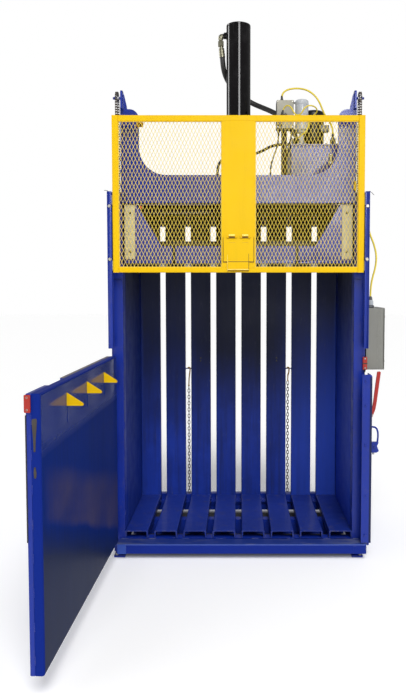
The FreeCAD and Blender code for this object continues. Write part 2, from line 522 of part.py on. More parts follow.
for n, u in enumerate(DOG_U):
    prof = [(DOG_PV - 9, DOG_PZ - 9), (DOG_PV - 9, DOG_PZ + 12), (D_V1, 1283), (D_V1 + 74, 1236), (D_V1 + 80, 1230),
            (D_V1 + 80, 1224), (D_V1 + 76, 1220), (DOG_PV + 2, 1220), (DOG_PV - 9, 1236)]
    d = prism(prof, "x", u - 4, u + 4).cut(cyl(5 + RUN_FIT, 30, (u - 15, DOG_PV, DOG_PZ), (1, 0, 0)))
    put("door_dog_%d" % (n + 1), door_place(d))

# interlock: sensor on the post, coded magnet on the door's free end
put("interlock_magnet", door_place(soft(box(D_U1, D_U1 + 10, D_V0 - 4, D_V0 + 24, 1261, 1338), 4)))
put("interlock_switch", [soft(box(820, 849, -24, 0, 1246, 1331), 4), cyl(5, 16, (834, -12, 1230)),
                         box(838, 846, 0, 14, 1252, 1325)])

# ---------------------------------------------------------------- latch bar
lb = box(857, 870, -92, 8, 108, 1222).fuse(box(806, 857, -92, -84, 108, 1222))
lb = lb.fuse(fil(box(857, 870, -36, 8, 66, 108), 14, lambda e: along_x(e) and e.BoundBox.ZMax < 67))
lb = fil(lb.removeSplitter(), 11, lambda e: along_y(e) and e.BoundBox.XMin > 869 and e.BoundBox.ZMin > 1221)
LATCH_Z = (240.0, 640.0, 1080.0)
for z in LATCH_Z:
    k = cyl(12, 50, (L_HX, L_HY, z)).fuse(box(858, 869, 6, L_HY, z, z + 50)).cut(cyl(8 + RUN_FIT, 50, (L_HX, L_HY, z)))
    lb = lb.fuse(k)
put("latch_bar", lb.removeSplitter())
lr = []
for z in LATCH_Z:
    for zz in (z - 30.4, z + 50.4):
        k = cyl(12, 30, (L_HX, L_HY, zz)).fuse(box(POST_OUT, L_HX, L_HY - 10, L_HY + 12, zz, zz + 30))
        lr.append(k.cut(cyl(8, 30, (L_HX, L_HY, zz))))
    lr.append(cyl(8, 110.8, (L_HX, L_HY, z - 30.4)))
put("latch_hinges", lr)
lever = prism([(870, 930), (886, 930), (904, 985), (937, 1236), (913, 1236), (880, 985), (870, 965)], "y", -36, -24)
put("latch_lever", lever)
hd = route([(870, -40, 870), (892, -40, 870), (915, -40, 850), (922, -40, 812), (918, -40, 770)], 6, "latch_handle")
blk = prism([(870, 770), (924, 770), (914, 744), (926, 712), (910, 700), (876, 700), (870, 716)], "y", -54, -26)
put("latch_handle", [hd.cut(blk), blk, cyl(7, 14, (892, -40, 686))])

# ----------------------------------------------------------------------- gate
gf = []
gf += both(tube4(G_X - G_SIDE, G_X, G_Y0, G_Y1, G_Z0, G_Z1, 3, "z"))
gf += tube4(-G_X + G_SIDE, G_X - G_SIDE, G_Y0, G_Y1, G_Z1 - G_TOP, G_Z1, 3, "x")
gf += tube4(-G_X + G_SIDE, G_X - G_SIDE, G_Y0, G_Y1, G_Z0, G_Z0 + G_BOT, 3, "x")
gf += both([box(G_X - G_SIDE + 3, G_X - 3, G_Y0 + 3, G_Y1 - 3, z, z + 3) for z in (G_Z0, G_Z1 - 3)])
mid = box(-G_MID, G_MID, G_Y0, G_Y0 + 4, G_Z0 + G_BOT, G_Z1 - G_TOP)
gf += [mid] + both([box(G_MID - 5, G_MID, G_Y0 + 4, G_Y1, G_Z0 + G_BOT, G_Z1 - G_TOP)])
for z0 in (1898, 2320):
    gf += both([soft(box(G_X, 839, -71, -49, z0, z0 + 64), 4)])
gf += both([box(CHAIN_X - 12, CHAIN_X + 12, G_Y1, -42.3, 1905, 1945), box(CHAIN_X - 4, CHAIN_X + 4, -42.3, -30, 1912, 1938)])
put("gate_frame", gf)


def mesh_panel(x0, x1, z0, z1, y0):
    """Expanded-metal panel: a flat sheet with rows of diamond openings."""
    nx = int((x1 - x0 - 6) / MESH_SWD)
    nz = int((z1 - z0 - 6) / MESH_LWD)
    ox = (x0 + x1) / 2 - nx * MESH_SWD / 2
    oz = (z0 + z1) / 2 - nz * MESH_LWD / 2
    ang = math.atan2(MESH_SWD, MESH_LWD)
    hx = MESH_SWD / 2 - MESH_STRAND / 2 / math.cos(ang)
    hz = MESH_LWD / 2 - MESH_STRAND / 2 / math.sin(ang)
    outer = Part.makePolygon([V(x0, y0, z0), V(x1, y0, z0), V(x1, y0, z1), V(x0, y0, z1), V(x0, y0, z0)])
    wires = [outer]
    for j in range(2 * nz - 1):
        odd = j % 2
        for i in range(nx - odd):
            cx = ox + (i + 0.5 + 0.5 * odd) * MESH_SWD
            cz = oz + (j + 1) * MESH_LWD / 2
            wires.append(Part.makePolygon([V(cx - hx, y0, cz), V(cx, y0, cz - hz), V(cx + hx, y0, cz),
                                           V(cx, y0, cz + hz), V(cx - hx, y0, cz)]))
    f = Part.Face(wires, "Part::FaceMakerBullseye")
    print("mesh panel holes", len(wires) - 1, "valid", f.isValid())
    return f.extrude(V(0, MESH_T, 0))


MZ0, MZ1 = G_Z0 + G_BOT, G_Z1 - G_TOP
mr = mesh_panel(G_MID, G_X - G_SIDE, MZ0, MZ1, -66)
put("gate_mesh", [mr, mirror_x(mr)])

# flap with its tongue, hung on two louvre hinges
FL_Z = 2111.0
flap = box(-97, 97, G_Y0 - 4, G_Y0 - 0.5, 1955, FL_Z - 10).fuse(box(-71, 71, G_Y0 - 4, G_Y0 - 0.5, 1893, 1955))
flap = flap.fuse(box(-71, 71, G_Y0 - 18, G_Y0 - 4, 1902, 1906))
for x in (-43, 43):
    flap = flap.fuse(cyl(7, 38, (x - 19, G_Y0 - 7.5, FL_Z), (1, 0, 0)).fuse(box(x - 19, x + 19, G_Y0 - 10, G_Y0 - 1, FL_Z - 14, FL_Z)))
    flap = flap.cut(cyl(3 + RUN_FIT, 60, (x - 30, G_Y0 - 7.5, FL_Z), (1, 0, 0)))
put("gate_flap", flap.removeSplitter())
fh = []
for x in (-43, 43):
    fh.append(cyl(3, 62, (x - 31, G_Y0 - 7.5, FL_Z), (1, 0, 0)))
    for s in (-1, 1):
        fh.append(box(x + s * 20, x + s * 31, G_Y0 - 14.5, G_Y0, FL_Z - 7, FL_Z + 7).cut(cyl(3, 70, (x - 35, G_Y0 - 7.5, FL_Z), (1, 0, 0))))
put("gate_frame", fh)

# side guides: channels that take the gate's shoes
gg = [box(841, 845, -85, -35, 1392, 2405), box(815, 841, -85, -81, 1392, 2405), box(815, 841, -39, -35, 1392, 2405)]
put("gate_guides", both(gg + [box(822, 838, -35, 0, z, z + 40) for z in (1420, 1780)] +
                        [box(822, 838, -35, 10, z, z + 40) for z in (2080, 2340)]))

# ------------------------------------------------------ chain wheels and chain
sbk, n_teeth = [], SPR_N
plate = fil(box(-762, -750, -32, 32, HEAD_EAR, 3059), 20, lambda e: along_x(e) and e.BoundBox.ZMin > 3058)
plate = plate.cut(cyl(8, 30, (-770, SPR_Y, SPR_Z), (1, 0, 0)))
gus = prism([(-750, HEAD_EAR), (-723, HEAD_EAR), (-726, 2965), (-742, 3035), (-750, 3050)], "y", -2, 10)
pin = cyl(8, 48, (-798, SPR_Y, SPR_Z), (1, 0, 0)).fuse(cyl(12, 4, (-802, SPR_Y, SPR_Z), (1, 0, 0)))
put("sprocket_brackets", both([plate, gus, pin]))


def sprocket(cx):
    pts = []
    for k in range(n_teeth):
        a = 2 * math.pi * k / n_teeth
        step = math.pi / n_teeth
        for da, r in ((-0.62, SPR_R - 4.6), (-0.38, SPR_R - 0.5), (-0.16, SPR_R + 5.0), (0.16, SPR_R + 5.0),
                      (0.38, SPR_R - 0.5), (0.62, SPR_R - 4.6)):
            pts.append((SPR_Y + r * math.cos(a + da * step), SPR_Z + r * math.sin(a + da * step)))
    s = prism(pts, "x", cx - 4.2, cx + 4.2)
    s = s.fuse(cyl(19, 20, (cx - 10, SPR_Y, SPR_Z), (1, 0, 0)))
    return s.cut(cyl(8 + RUN_FIT, 40, (cx - 20, SPR_Y, SPR_Z), (1, 0, 0)))


put("sprocket_left", sprocket(-CHAIN_X))
put("sprocket_right", sprocket(CHAIN_X))

CW_L, CW_TOP = 700.0, 1170.0


# each chain is drawn as its two rows of side plates
for side, cx in (("left", -CHAIN_X), ("right", CHAIN_X)):
    for s in (-1, 1):
        x0, x1 = sorted((cx + s * 6, cx + s * 9.5))
        put("gate_chain_front", box(x0, x1, -SPR_R - 6, -SPR_R + 6, 1915, SPR_Z))
        put("gate_chain_rear_" + side, box(x0, x1, SPR_R - 6, SPR_R + 6, CW_TOP + 8, SPR_Z))
        r = ring(SPR_R + 6, SPR_R - 6, x1 - x0, (x0, SPR_Y, SPR_Z), (1, 0, 0))
        put("gate_chain_wraps", r.common(box(cx - 20, cx + 20, -60, 60, SPR_Z, SPR_Z + 60)))
cw = box(774, 826, 24, 86, CW_TOP - CW_L, CW_TOP)
eye = box(CHAIN_X - 4, CHAIN_X + 4, 28, 44, CW_TOP, CW_TOP + 30)
put("counterweight_right", cw.fuse(eye))
put("counterweight_left", mirror_x(cw.fuse(eye)))

# -------------------------------------------------------------- ejector chains
ej, hk = [], []
for cx, yaw in ((-389, 0), (386, 90)):
    if yaw == 0:
        ej.append(box(cx - 10, cx + 10, 826, 836, 158, 1018))
    else:
        ej.append(box(cx - 5, cx + 5, 822, 842, 158, 1054))
    zt = 1018 if yaw == 0 else 1054
    top = 1168
    hook = prism([(cx - 7, zt), (cx + 7, zt), (cx + 9, zt + 60), (cx + 12, top - 34), (cx + 14, top - 8), (cx + 6, top + 2),
                  (cx - 12, top + 2), (cx - 14, top - 8), (cx - 6, top - 10), (cx + 2, top - 12), (cx + 1, top - 34),
                  (cx - 5, zt + 60)], "y", 826, 836)
    hk.append(hook)
put("ejector_chains", ej + [box(cx - 20, cx + 20, 821, 841, FLOOR_Z0, 158) for cx in (-392, 392)] +
    [box(cx - 22, cx + 22, 838, 844, 1150, 1160) for cx in (-392, 392)])
put("ejector_hooks", hk)

# ------------------------------------------------------------------ write out
total = 0.0
for name in sorted(nodes):
    comp = Part.makeCompound(nodes[name])
    comp.translate(V(0, SHIFT_Y, 0))
    bad = [s for s in comp.Solids if not s.isValid()]
    bb = comp.BoundBox
    total += comp.Volume
    print("%-22s solids %3d  vol %10.0f cm3  X %7.1f %7.1f  Y %7.1f %7.1f  Z %7.1f %7.1f%s" % (
        name, len(comp.Solids), comp.Volume / 1000, bb.XMin, bb.XMax, bb.YMin, bb.YMax, bb.ZMin, bb.ZMax,
        "  INVALID" if bad else ""))
    comp.exportStep("parts/%s.step" % name)
print("nodes", len(nodes), "volume m3", total / 1e9)
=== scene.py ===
import bpy, bmesh, json, math, random
from mathutils import Vector, Matrix

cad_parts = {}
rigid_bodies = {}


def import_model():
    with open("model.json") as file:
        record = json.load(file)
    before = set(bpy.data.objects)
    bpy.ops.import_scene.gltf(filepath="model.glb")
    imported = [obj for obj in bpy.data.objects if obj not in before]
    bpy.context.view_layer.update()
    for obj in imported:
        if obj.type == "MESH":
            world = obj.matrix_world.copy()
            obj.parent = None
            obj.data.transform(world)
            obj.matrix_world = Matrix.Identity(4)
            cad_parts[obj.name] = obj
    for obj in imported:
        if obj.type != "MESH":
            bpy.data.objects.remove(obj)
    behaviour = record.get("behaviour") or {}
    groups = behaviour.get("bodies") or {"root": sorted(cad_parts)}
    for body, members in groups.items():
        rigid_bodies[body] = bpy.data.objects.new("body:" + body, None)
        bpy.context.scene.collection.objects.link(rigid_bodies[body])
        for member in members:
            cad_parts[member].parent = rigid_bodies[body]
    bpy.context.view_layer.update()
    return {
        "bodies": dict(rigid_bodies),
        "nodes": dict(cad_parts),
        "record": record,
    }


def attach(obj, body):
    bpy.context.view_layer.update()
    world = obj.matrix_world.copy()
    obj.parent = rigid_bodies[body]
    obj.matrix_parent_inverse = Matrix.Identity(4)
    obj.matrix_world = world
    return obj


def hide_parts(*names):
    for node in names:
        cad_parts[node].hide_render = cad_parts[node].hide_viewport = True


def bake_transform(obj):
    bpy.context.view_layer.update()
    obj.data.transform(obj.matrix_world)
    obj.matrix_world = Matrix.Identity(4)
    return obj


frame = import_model()
NODES, BODIES = frame["nodes"], frame["bodies"]
random.seed(7)

# The pieces are laid out in millimetres from the front plane of the posts, as the CAD is; W() turns a point into the frame.
SHIFT = Vector((0.0, -0.4075, 0.0))


def W(x, y, z):
    return Vector((x / 1000.0, y / 1000.0 - 0.4075, z / 1000.0))


# ================================================================ camera and light
scene = bpy.context.scene
scene.view_settings.view_transform = "Standard"
cam_data = bpy.data.cameras.new("photo_camera")
cam = bpy.data.objects.new("photo_camera", cam_data)
scene.collection.objects.link(cam)
scene.camera = cam
cam_data.sensor_fit = "AUTO"
cam_data.sensor_width = 36.0
cam_data.lens = 693.2 * 36.0 / 700.0
cam_data.shift_x = -(238.5 - 203.0) / 700.0
cam_data.shift_y = (327.4 - 350.0) / 700.0
cam_data.clip_start, cam_data.clip_end = 0.05, 200.0
cam.location = W(0, -4571, 1790)
cam.rotation_euler = (math.radians(90 - 3.315), 0, 0)

world = bpy.data.worlds.new("studio")
scene.world = world
world.use_nodes = True
wt = world.node_tree
bg = wt.nodes["Background"]
bg.inputs["Color"].default_value = (1.0, 1.0, 1.0, 1.0)
# a white backdrop to the eye, and a dimmer, even light on the object
path = wt.nodes.new("ShaderNodeLightPath")
seen = wt.nodes.new("ShaderNodeMapRange")
seen.inputs["To Min"].default_value = 0.34
seen.inputs["To Max"].default_value = 1.0
wt.links.new(path.outputs["Is Camera Ray"], seen.inputs["Value"])
wt.links.new(seen.outputs["Result"], bg.inputs["Strength"])


def area(name, loc, target, size, power, color=(1, 1, 1), size_y=None):
    d = bpy.data.lights.new(name, "AREA")
    d.energy = power
    d.color = color
    d.shape = "RECTANGLE"
    d.size = size
    d.size_y = size_y or size
    o = bpy.data.objects.new(name, d)
    scene.collection.objects.link(o)
    o.location = loc
    o.rotation_mode = "QUATERNION"
    o.rotation_quaternion = (Vector(target) - Vector(loc)).to_track_quat("-Z", "Y")
    return o


strip = area("strip", (0.80, -5.9, 4.5), (0, 0, 3.3), 1.5, 330, size_y=3.6)
area("side", (4.2, -4.2, 2.2), (-0.6, -1.0, 1.2), 2.4, 40)
area("left", (-4.4, -4.6, 2.0), (0.7, 0.2, 1.1), 2.2, 34)
rim = area("rim", (-3.6, 1.15, 4.1), (0, 0, 3.1), 0.75, 70, size_y=2.6)
# these two only draw lines of light along the glossy barrel
strip.visible_diffuse = False
rim.visible_diffuse = False
sun_data = bpy.data.lights.new("soft_sun", "SUN")
sun_data.energy = 2.35
sun_data.angle = math.radians(32)
sun = bpy.data.objects.new("soft_sun", sun_data)
scene.collection.objects.link(sun)
sun.visible_glossy = False
sun.rotation_mode = "QUATERNION"
sun.rotation_quaternion = Vector((-0.10, 0.64, -0.76)).to_track_quat("-Z", "Y")


# ================================================================ materials
def srgb(h):
    c = [int(h[i:i + 2], 16) / 255 for i in (0, 2, 4)]
    return [x / 12.92 if x <= 0.04045 else ((x + 0.055) / 1.055) ** 2.4 for x in c]


class Mat:
    """A node material, with short helpers for its procedural detail."""

    def __init__(self, name, color, rough=0.4, metal=0.0, coat=0.0, coat_rough=0.05, spec=0.5, ior=1.5):
        self.m = bpy.data.materials.new(name)
        self.m.use_nodes = True
        self.t = self.m.node_tree
        self.b = self.t.nodes["Principled BSDF"]
        self.color = list(color)
        self.set("Base Color", (*color, 1))
        self.set("Roughness", rough)
        self.set("Metallic", metal)
        self.set("Coat Weight", coat)
        self.set("Coat Roughness", coat_rough)
        self.set("Specular IOR Level", spec)
        self.set("IOR", ior)
        self.col = None
        self.rough = None
        self.height = None
        self.coords = self.node("ShaderNodeTexCoord").outputs["Object"]

    def set(self, k, v):
        self.b.inputs[k].default_value = v

    def node(self, kind, **props):
        n = self.t.nodes.new(kind)
        for k, v in props.items():
            setattr(n, k, v)
        return n

    def link(self, a, b):
        self.t.links.new(a, b)

    def noise(self, scale, detail=4.0, rough=0.55, stretch=(1, 1, 1), distort=0.0):
        mp = self.node("ShaderNodeMapping")
        mp.inputs["Scale"].default_value = stretch
        self.link(self.coords, mp.inputs["Vector"])
        n = self.node("ShaderNodeTexNoise")
        n.inputs["Scale"].default_value = scale
        n.inputs["Detail"].default_value = detail
        n.inputs["Roughness"].default_value = rough
        n.inputs["Distortion"].default_value = distort
        self.link(mp.outputs["Vector"], n.inputs["Vector"])
        return n.outputs["Fac"]

    def voronoi(self, scale, stretch=(1, 1, 1), feature="F1"):
        mp = self.node("ShaderNodeMapping")
        mp.inputs["Scale"].default_value = stretch
        self.link(self.coords, mp.inputs["Vector"])
        n = self.node("ShaderNodeTexVoronoi", feature=feature)
        n.inputs["Scale"].default_value = scale
        self.link(mp.outputs["Vector"], n.inputs["Vector"])
        return n.outputs["Distance"]

    def ramp(self, fac, lo, hi, a=0.0, b=1.0):
        n = self.node("ShaderNodeMapRange")
        n.clamp = True
        n.inputs["From Min"].default_value = lo
        n.inputs["From Max"].default_value = hi
        n.inputs["To Min"].default_value = a
        n.inputs["To Max"].default_value = b
        self.link(fac, n.inputs["Value"])
        return n.outputs["Result"]

    def math(self, op, a, b=None, clamp=False):
        n = self.node("ShaderNodeMath", operation=op, use_clamp=clamp)
        for i, v in enumerate((a, b)):
            if v is None:
                continue
            if isinstance(v, (int, float)):
                n.inputs[i].default_value = v
            else:
                self.link(v, n.inputs[i])
        return n.outputs[0]

    def axis(self, which):
        s = self.node("ShaderNodeSeparateXYZ")
        self.link(self.coords, s.inputs[0])
        return s.outputs[which]

    def mix_color(self, fac, color):
        """Lays a colour over what is there, by a mask."""
        n = self.node("ShaderNodeMix", data_type="RGBA")
        if self.col is None:
            n.inputs["A"].default_value = (*self.color, 1)
        else:
            self.link(self.col, n.inputs["A"])
        if isinstance(color, (list, tuple)):
            n.inputs["B"].default_value = (*color, 1)
        else:
            self.link(color, n.inputs["B"])
        if isinstance(fac, (int, float)):
            n.inputs["Factor"].default_value = fac
        else:
            self.link(fac, n.inputs["Factor"])
        self.col = n.outputs["Result"]
        return self

    def mix_rough(self, fac, value):
        n = self.node("ShaderNodeMix", data_type="FLOAT")
        if self.rough is None:
            n.inputs["A"].default_value = self.b.inputs["Roughness"].default_value
        else:
            self.link(self.rough, n.inputs["A"])
        n.inputs["B"].default_value = value
        self.link(fac, n.inputs["Factor"])
        self.rough = n.outputs["Result"]
        return self

    def bump(self, fac, strength, distance=0.001):
        n = self.node("ShaderNodeBump")
        n.inputs["Strength"].default_value = strength
        n.inputs["Distance"].default_value = distance
        self.link(fac, n.inputs["Height"])
        if self.height is not None:
            self.link(self.height, n.inputs["Normal"])
        self.height = n.outputs["Normal"]
        return self

    def done(self):
        if self.col is not None:
            self.link(self.col, self.b.inputs["Base Color"])
        if self.rough is not None:
            self.link(self.rough, self.b.inputs["Roughness"])
        if self.height is not None:
            self.link(self.height, self.b.inputs["Normal"])
        return self.m


def edge_wear(m, radius=0.004, lo=0.02, hi=0.16):
    """Mask of worn edges: where the rounded normal leaves the flat one, broken up by noise."""
    bv = m.node("ShaderNodeBevel", samples=4)
    bv.inputs["Radius"].default_value = radius
    geo = m.node("ShaderNodeNewGeometry")
    dot = m.node("ShaderNodeVectorMath", operation="DOT_PRODUCT")
    m.link(bv.outputs["Normal"], dot.inputs[0])
    m.link(geo.outputs["Normal"], dot.inputs[1])
    d = m.math("SUBTRACT", 1.0, dot.outputs["Value"])
    edge = m.ramp(d, lo, hi)
    brk = m.ramp(m.noise(38, 6, 0.65), 0.50, 0.66)
    return m.math("MULTIPLY", edge, brk)


def paint(name, color, rough=0.28, coat=0.12, dark=0.72, streak=0.35, wear=0.6, wear_col=None, peel=0.10, dirt=0.25,
          dirt_col=(0.10, 0.085, 0.065), waves=0.10, spec=0.28):
    m = Mat(name, color, rough=rough, coat=coat, coat_rough=0.08, spec=spec)
    # broad shifts of shade, run marks down the sheet, and dust in patches
    m.mix_color(m.math("MULTIPLY", m.ramp(m.noise(2.2, 3, 0.5), 0.35, 0.75), 0.55), [c * dark for c in color])
    runs = m.ramp(m.noise(5.5, 6, 0.6, stretch=(6, 6, 0.35)), 0.48, 0.78)
    m.mix_color(m.math("MULTIPLY", runs, streak), [c * 0.55 + 0.012 for c in color])
    spots = m.ramp(m.noise(16, 8, 0.7), 0.56, 0.74)
    m.mix_color(m.math("MULTIPLY", spots, dirt), dirt_col)
    m.mix_rough(m.math("MULTIPLY", m.ramp(m.noise(9, 6, 0.6), 0.4, 0.8), 0.6), min(0.9, rough + 0.25))
    if wear:
        w = m.math("MULTIPLY", edge_wear(m), wear)
        m.mix_color(w, wear_col or [0.20, 0.19, 0.18])
        m.mix_rough(w, 0.5)
    m.bump(m.noise(420, 2, 0.5), peel, 0.0004)
    m.bump(m.noise(3.0, 2, 0.4), waves, 0.012)
    return m.done()


BLUE = (0.0045, 0.0240, 0.280)
YEL = (0.82, 0.530, 0.0045)
MATS = {}
MATS["blue_paint"] = paint("blue_gloss_paint", BLUE)


def wall_paint(name, rough, wear, dirt):
    """Chamber paint: bright blue low down; higher up, painted shade darkens it to navy, greyer near the top and near
    black under the head; plain blue on the outside.
    """
    blue = (0.0120, 0.0390, 0.330)
    m = Mat(name, blue, rough=rough, coat=0.0, spec=0.13)
    ax = m.math("ABSOLUTE", m.axis(0), 0.0)
    inner = m.math("MULTIPLY", m.ramp(ax, 0.7672, 0.7640), m.ramp(m.axis(1), 0.4560, 0.4500))
    inner = m.math("MULTIPLY", inner, m.ramp(m.axis(1), -0.3070, -0.3060))
    rear = m.math("MULTIPLY", m.ramp(m.axis(1), 0.4118, 0.4128), m.ramp(m.axis(1), 0.4152, 0.4142))
    inner = m.math("MULTIPLY", inner, m.math("SUBTRACT", 1.0, rear))

    def mix(f, c):
        m.mix_color(m.math("MULTIPLY", f, inner), c)
    mix(m.math("MULTIPLY", m.ramp(m.noise(3.2, 6, 0.62), 0.38, 0.66), 0.62), [c * 0.50 for c in blue])
    runs = m.ramp(m.noise(5.0, 6, 0.6, stretch=(6, 6, 0.30)), 0.45, 0.70)
    mix(m.math("MULTIPLY", runs, 0.70), (0.010, 0.018, 0.100))
    # painted shade: the chamber darkens to navy from about 0.85 m up
    up = m.ramp(m.math("ADD", m.axis(2), m.math("MULTIPLY", m.noise(2.4, 5, 0.6, stretch=(3, 3, 0.6)), 0.7)), 0.85, 1.75)
    mix(m.math("MULTIPLY", up, 0.86), (0.0080, 0.0140, 0.0520))
    # the painted shade is lighter on the two side walls than on the back
    sides = m.math("MULTIPLY", m.ramp(ax, 0.735, 0.755), m.ramp(m.axis(2), 1.95, 1.55))
    mix(m.math("MULTIPLY", sides, 0.55), (0.0130, 0.0390, 0.260))
    # painted light: a brighter blue low on the right; painted shade: a darker band up the middle of the back
    right = m.math("MULTIPLY", m.ramp(m.axis(0), 0.30, 0.74), m.ramp(m.axis(2), 1.70, 0.80))
    mix(m.math("MULTIPLY", right, 0.80), (0.0310, 0.0900, 0.600))
    mid = m.math("MULTIPLY", m.ramp(ax, 0.42, 0.20), m.math("MULTIPLY", m.ramp(m.axis(2), 1.00, 1.30), m.ramp(m.axis(2), 2.00, 1.80)))
    mix(m.math("MULTIPLY", mid, 0.72), (0.0028, 0.0050, 0.0165))
    top = m.ramp(m.math("ADD", m.axis(2), m.math("MULTIPLY", m.noise(4.5, 5, 0.6, stretch=(3, 3, 0.4)), 0.4)), 1.60, 2.10)
    mix(m.math("MULTIPLY", top, 0.9), (0.0290, 0.0320, 0.0540))
    # painted shade: near black just under the head
    deep = m.ramp(m.axis(2), 2.02, 2.16)
    mix(m.math("MULTIPLY", deep, 0.93), (0.0040, 0.0045, 0.0090))
    scr = m.ramp(m.noise(30, 8, 0.75, stretch=(2.2, 2.2, 0.25)), 0.58, 0.70)
    mix(m.math("MULTIPLY", scr, dirt), (0.075, 0.080, 0.115))
    # the outside: an even coat with a little dust and run-off
    outside = m.math("SUBTRACT", 1.0, inner)
    m.mix_color(m.math("MULTIPLY", outside, 0.75), [c * 0.95 for c in BLUE])
    dust = m.math("MULTIPLY", m.ramp(m.noise(6.0, 6, 0.6, stretch=(4, 4, 0.35)), 0.50, 0.78), outside)
    m.mix_color(m.math("MULTIPLY", dust, 0.35), (0.012, 0.022, 0.110))
    m.mix_rough(m.math("MULTIPLY", m.ramp(m.noise(9, 6, 0.6), 0.4, 0.8), 0.6), min(0.9, rough + 0.25))
    w = m.math("MULTIPLY", edge_wear(m), wear)
    m.mix_color(w, [0.16, 0.155, 0.15])
    m.bump(m.noise(420, 2, 0.5), 0.10, 0.0004)
    m.bump(m.noise(2.6, 2, 0.4), 0.22, 0.012)
    return m.done()


MATS["blue_wall"] = wall_paint("blue_wall_paint", 0.42, 0.4, 0.35)
MATS["yellow_paint"] = paint("yellow_gloss_paint", (0.80, 0.495, 0.0030), rough=0.46, coat=0.0, spec=0.085, dark=0.90, streak=0.10, dirt=0.08, wear=0.35,
                             wear_col=[0.42, 0.25, 0.03], dirt_col=(0.45, 0.30, 0.05), waves=0.03)
MATS["black_paint"] = paint("black_gloss_paint", (0.008, 0.0075, 0.009), rough=0.24, coat=0.1, dark=0.8, streak=0.15, dirt=0.10,
                            wear=0.25, wear_col=[0.16, 0.15, 0.14], waves=0.12)
MATS["grey_enclosure"] = paint("grey_enclosure_paint", srgb("7f7f79"), rough=0.45, coat=0.0, dark=0.86, streak=0.18, dirt=0.12,
                               wear=0.3, wear_col=[0.5, 0.5, 0.48], waves=0.02)
MATS["filter_paint"] = paint("pale_filter_paint", srgb("b9bdc2"), rough=0.38, coat=0.15, dark=0.88, streak=0.12, dirt=0.10,
                             wear=0.2, waves=0.02)
MATS["red_plastic"] = paint("red_moulded_plastic", srgb("a82a20"), rough=0.36, coat=0.2, dark=0.75, streak=0.1, dirt=0.14,
                            wear=0.3, wear_col=[0.55, 0.22, 0.16], waves=0.02)


def plain_metal(name, color, rough, brush=(1, 1, 40), grime=0.35, dark=(0.05, 0.045, 0.04), scale=60, metal=1.0):
    m = Mat(name, color, rough=rough, metal=metal)
    g = m.ramp(m.noise(14, 8, 0.7), 0.45, 0.75)
    m.mix_color(m.math("MULTIPLY", g, grime), dark)
    m.mix_rough(m.noise(scale, 3, 0.6, stretch=brush), min(1.0, rough + 0.2))
    m.bump(m.noise(scale * 2, 3, 0.6, stretch=brush), 0.12, 0.0005)
    return m.done()


MATS["bare_steel"] = plain_metal("machined_steel", (0.42, 0.42, 0.43), 0.34)
MATS["plated_fittings"] = plain_metal("zinc_plated_steel", (0.40, 0.385, 0.34), 0.34, grime=0.30)
MATS["chrome_rod"] = plain_metal("hard_chrome", (0.72, 0.73, 0.74), 0.10, grime=0.08)
MATS["chain_steel"] = plain_metal("oiled_chain_steel", (0.085, 0.072, 0.060), 0.42, grime=0.6, dark=(0.02, 0.017, 0.014), metal=0.8)
MATS["dark_steel"] = plain_metal("blackened_steel", (0.05, 0.05, 0.05), 0.42, grime=0.4)


def soft_plastic(name, color, rough=0.6, grain=260, bump=0.25):
    m = Mat(name, color, rough=rough)
    m.mix_color(m.math("MULTIPLY", m.ramp(m.noise(18, 6, 0.6), 0.4, 0.8), 0.5), [c * 0.6 for c in color])
    m.mix_rough(m.ramp(m.noise(30, 4, 0.6), 0.4, 0.8), min(1, rough + 0.2))
    m.bump(m.noise(grain, 3, 0.6), bump, 0.0006)
    return m.done()


MATS["rubber_hose"] = soft_plastic("hose_rubber", (0.014, 0.013, 0.013), 0.55)
MATS["yellow_cable"] = soft_plastic("yellow_cable_jacket", (0.80, 0.62, 0.035), 0.45, 200, 0.1)
MATS["wear_plastic"] = soft_plastic("wear_strip_plastic", srgb("c5bda0"), 0.6, 120, 0.3)
MATS["black_plastic"] = soft_plastic("black_moulded_plastic", (0.012, 0.012, 0.013), 0.42, 300, 0.15)


def assign(obj, mat):
    m = MATS[mat] if isinstance(mat, str) else mat
    if not obj.data.materials:
        obj.data.materials.append(m)
    else:
        for i in range(len(obj.data.materials)):
            obj.data.materials[i] = m


SLOT = {s["node"]: s["material_slot"] for s in frame["record"]["subparts"]}
for n, o in NODES.items():
    assign(o, MATS[SLOT[n]])
for n in ("back_channels", "floor_channels", "side_walls"):
    assign(NODES[n], "blue_wall")


def soften(node, width=1.2, seg=2, angle=35):
    """Rolls the sharp edges of a carried-over CAD node."""
    o = NODES[node]
    w = o.modifiers.new("weld", "WELD")
    w.merge_threshold = 0.00001
    b = o.modifiers.new("soft", "BEVEL")
    b.width = width / 1000.0
    b.segments = seg
    b.limit_method = "ANGLE"
    b.angle_limit = math.radians(angle)
    b.harden_normals = True
    b.use_clamp_overlap = True
    return o


# ================================================================ mesh building
def frame_of(axis):
    a = Vector(axis).normalized()
    h = Vector((0, 0, 1)) if abs(a.z) < 0.9 else Vector((1, 0, 0))
    u = a.cross(h).normalized()
    return a, u, a.cross(u).normalized()


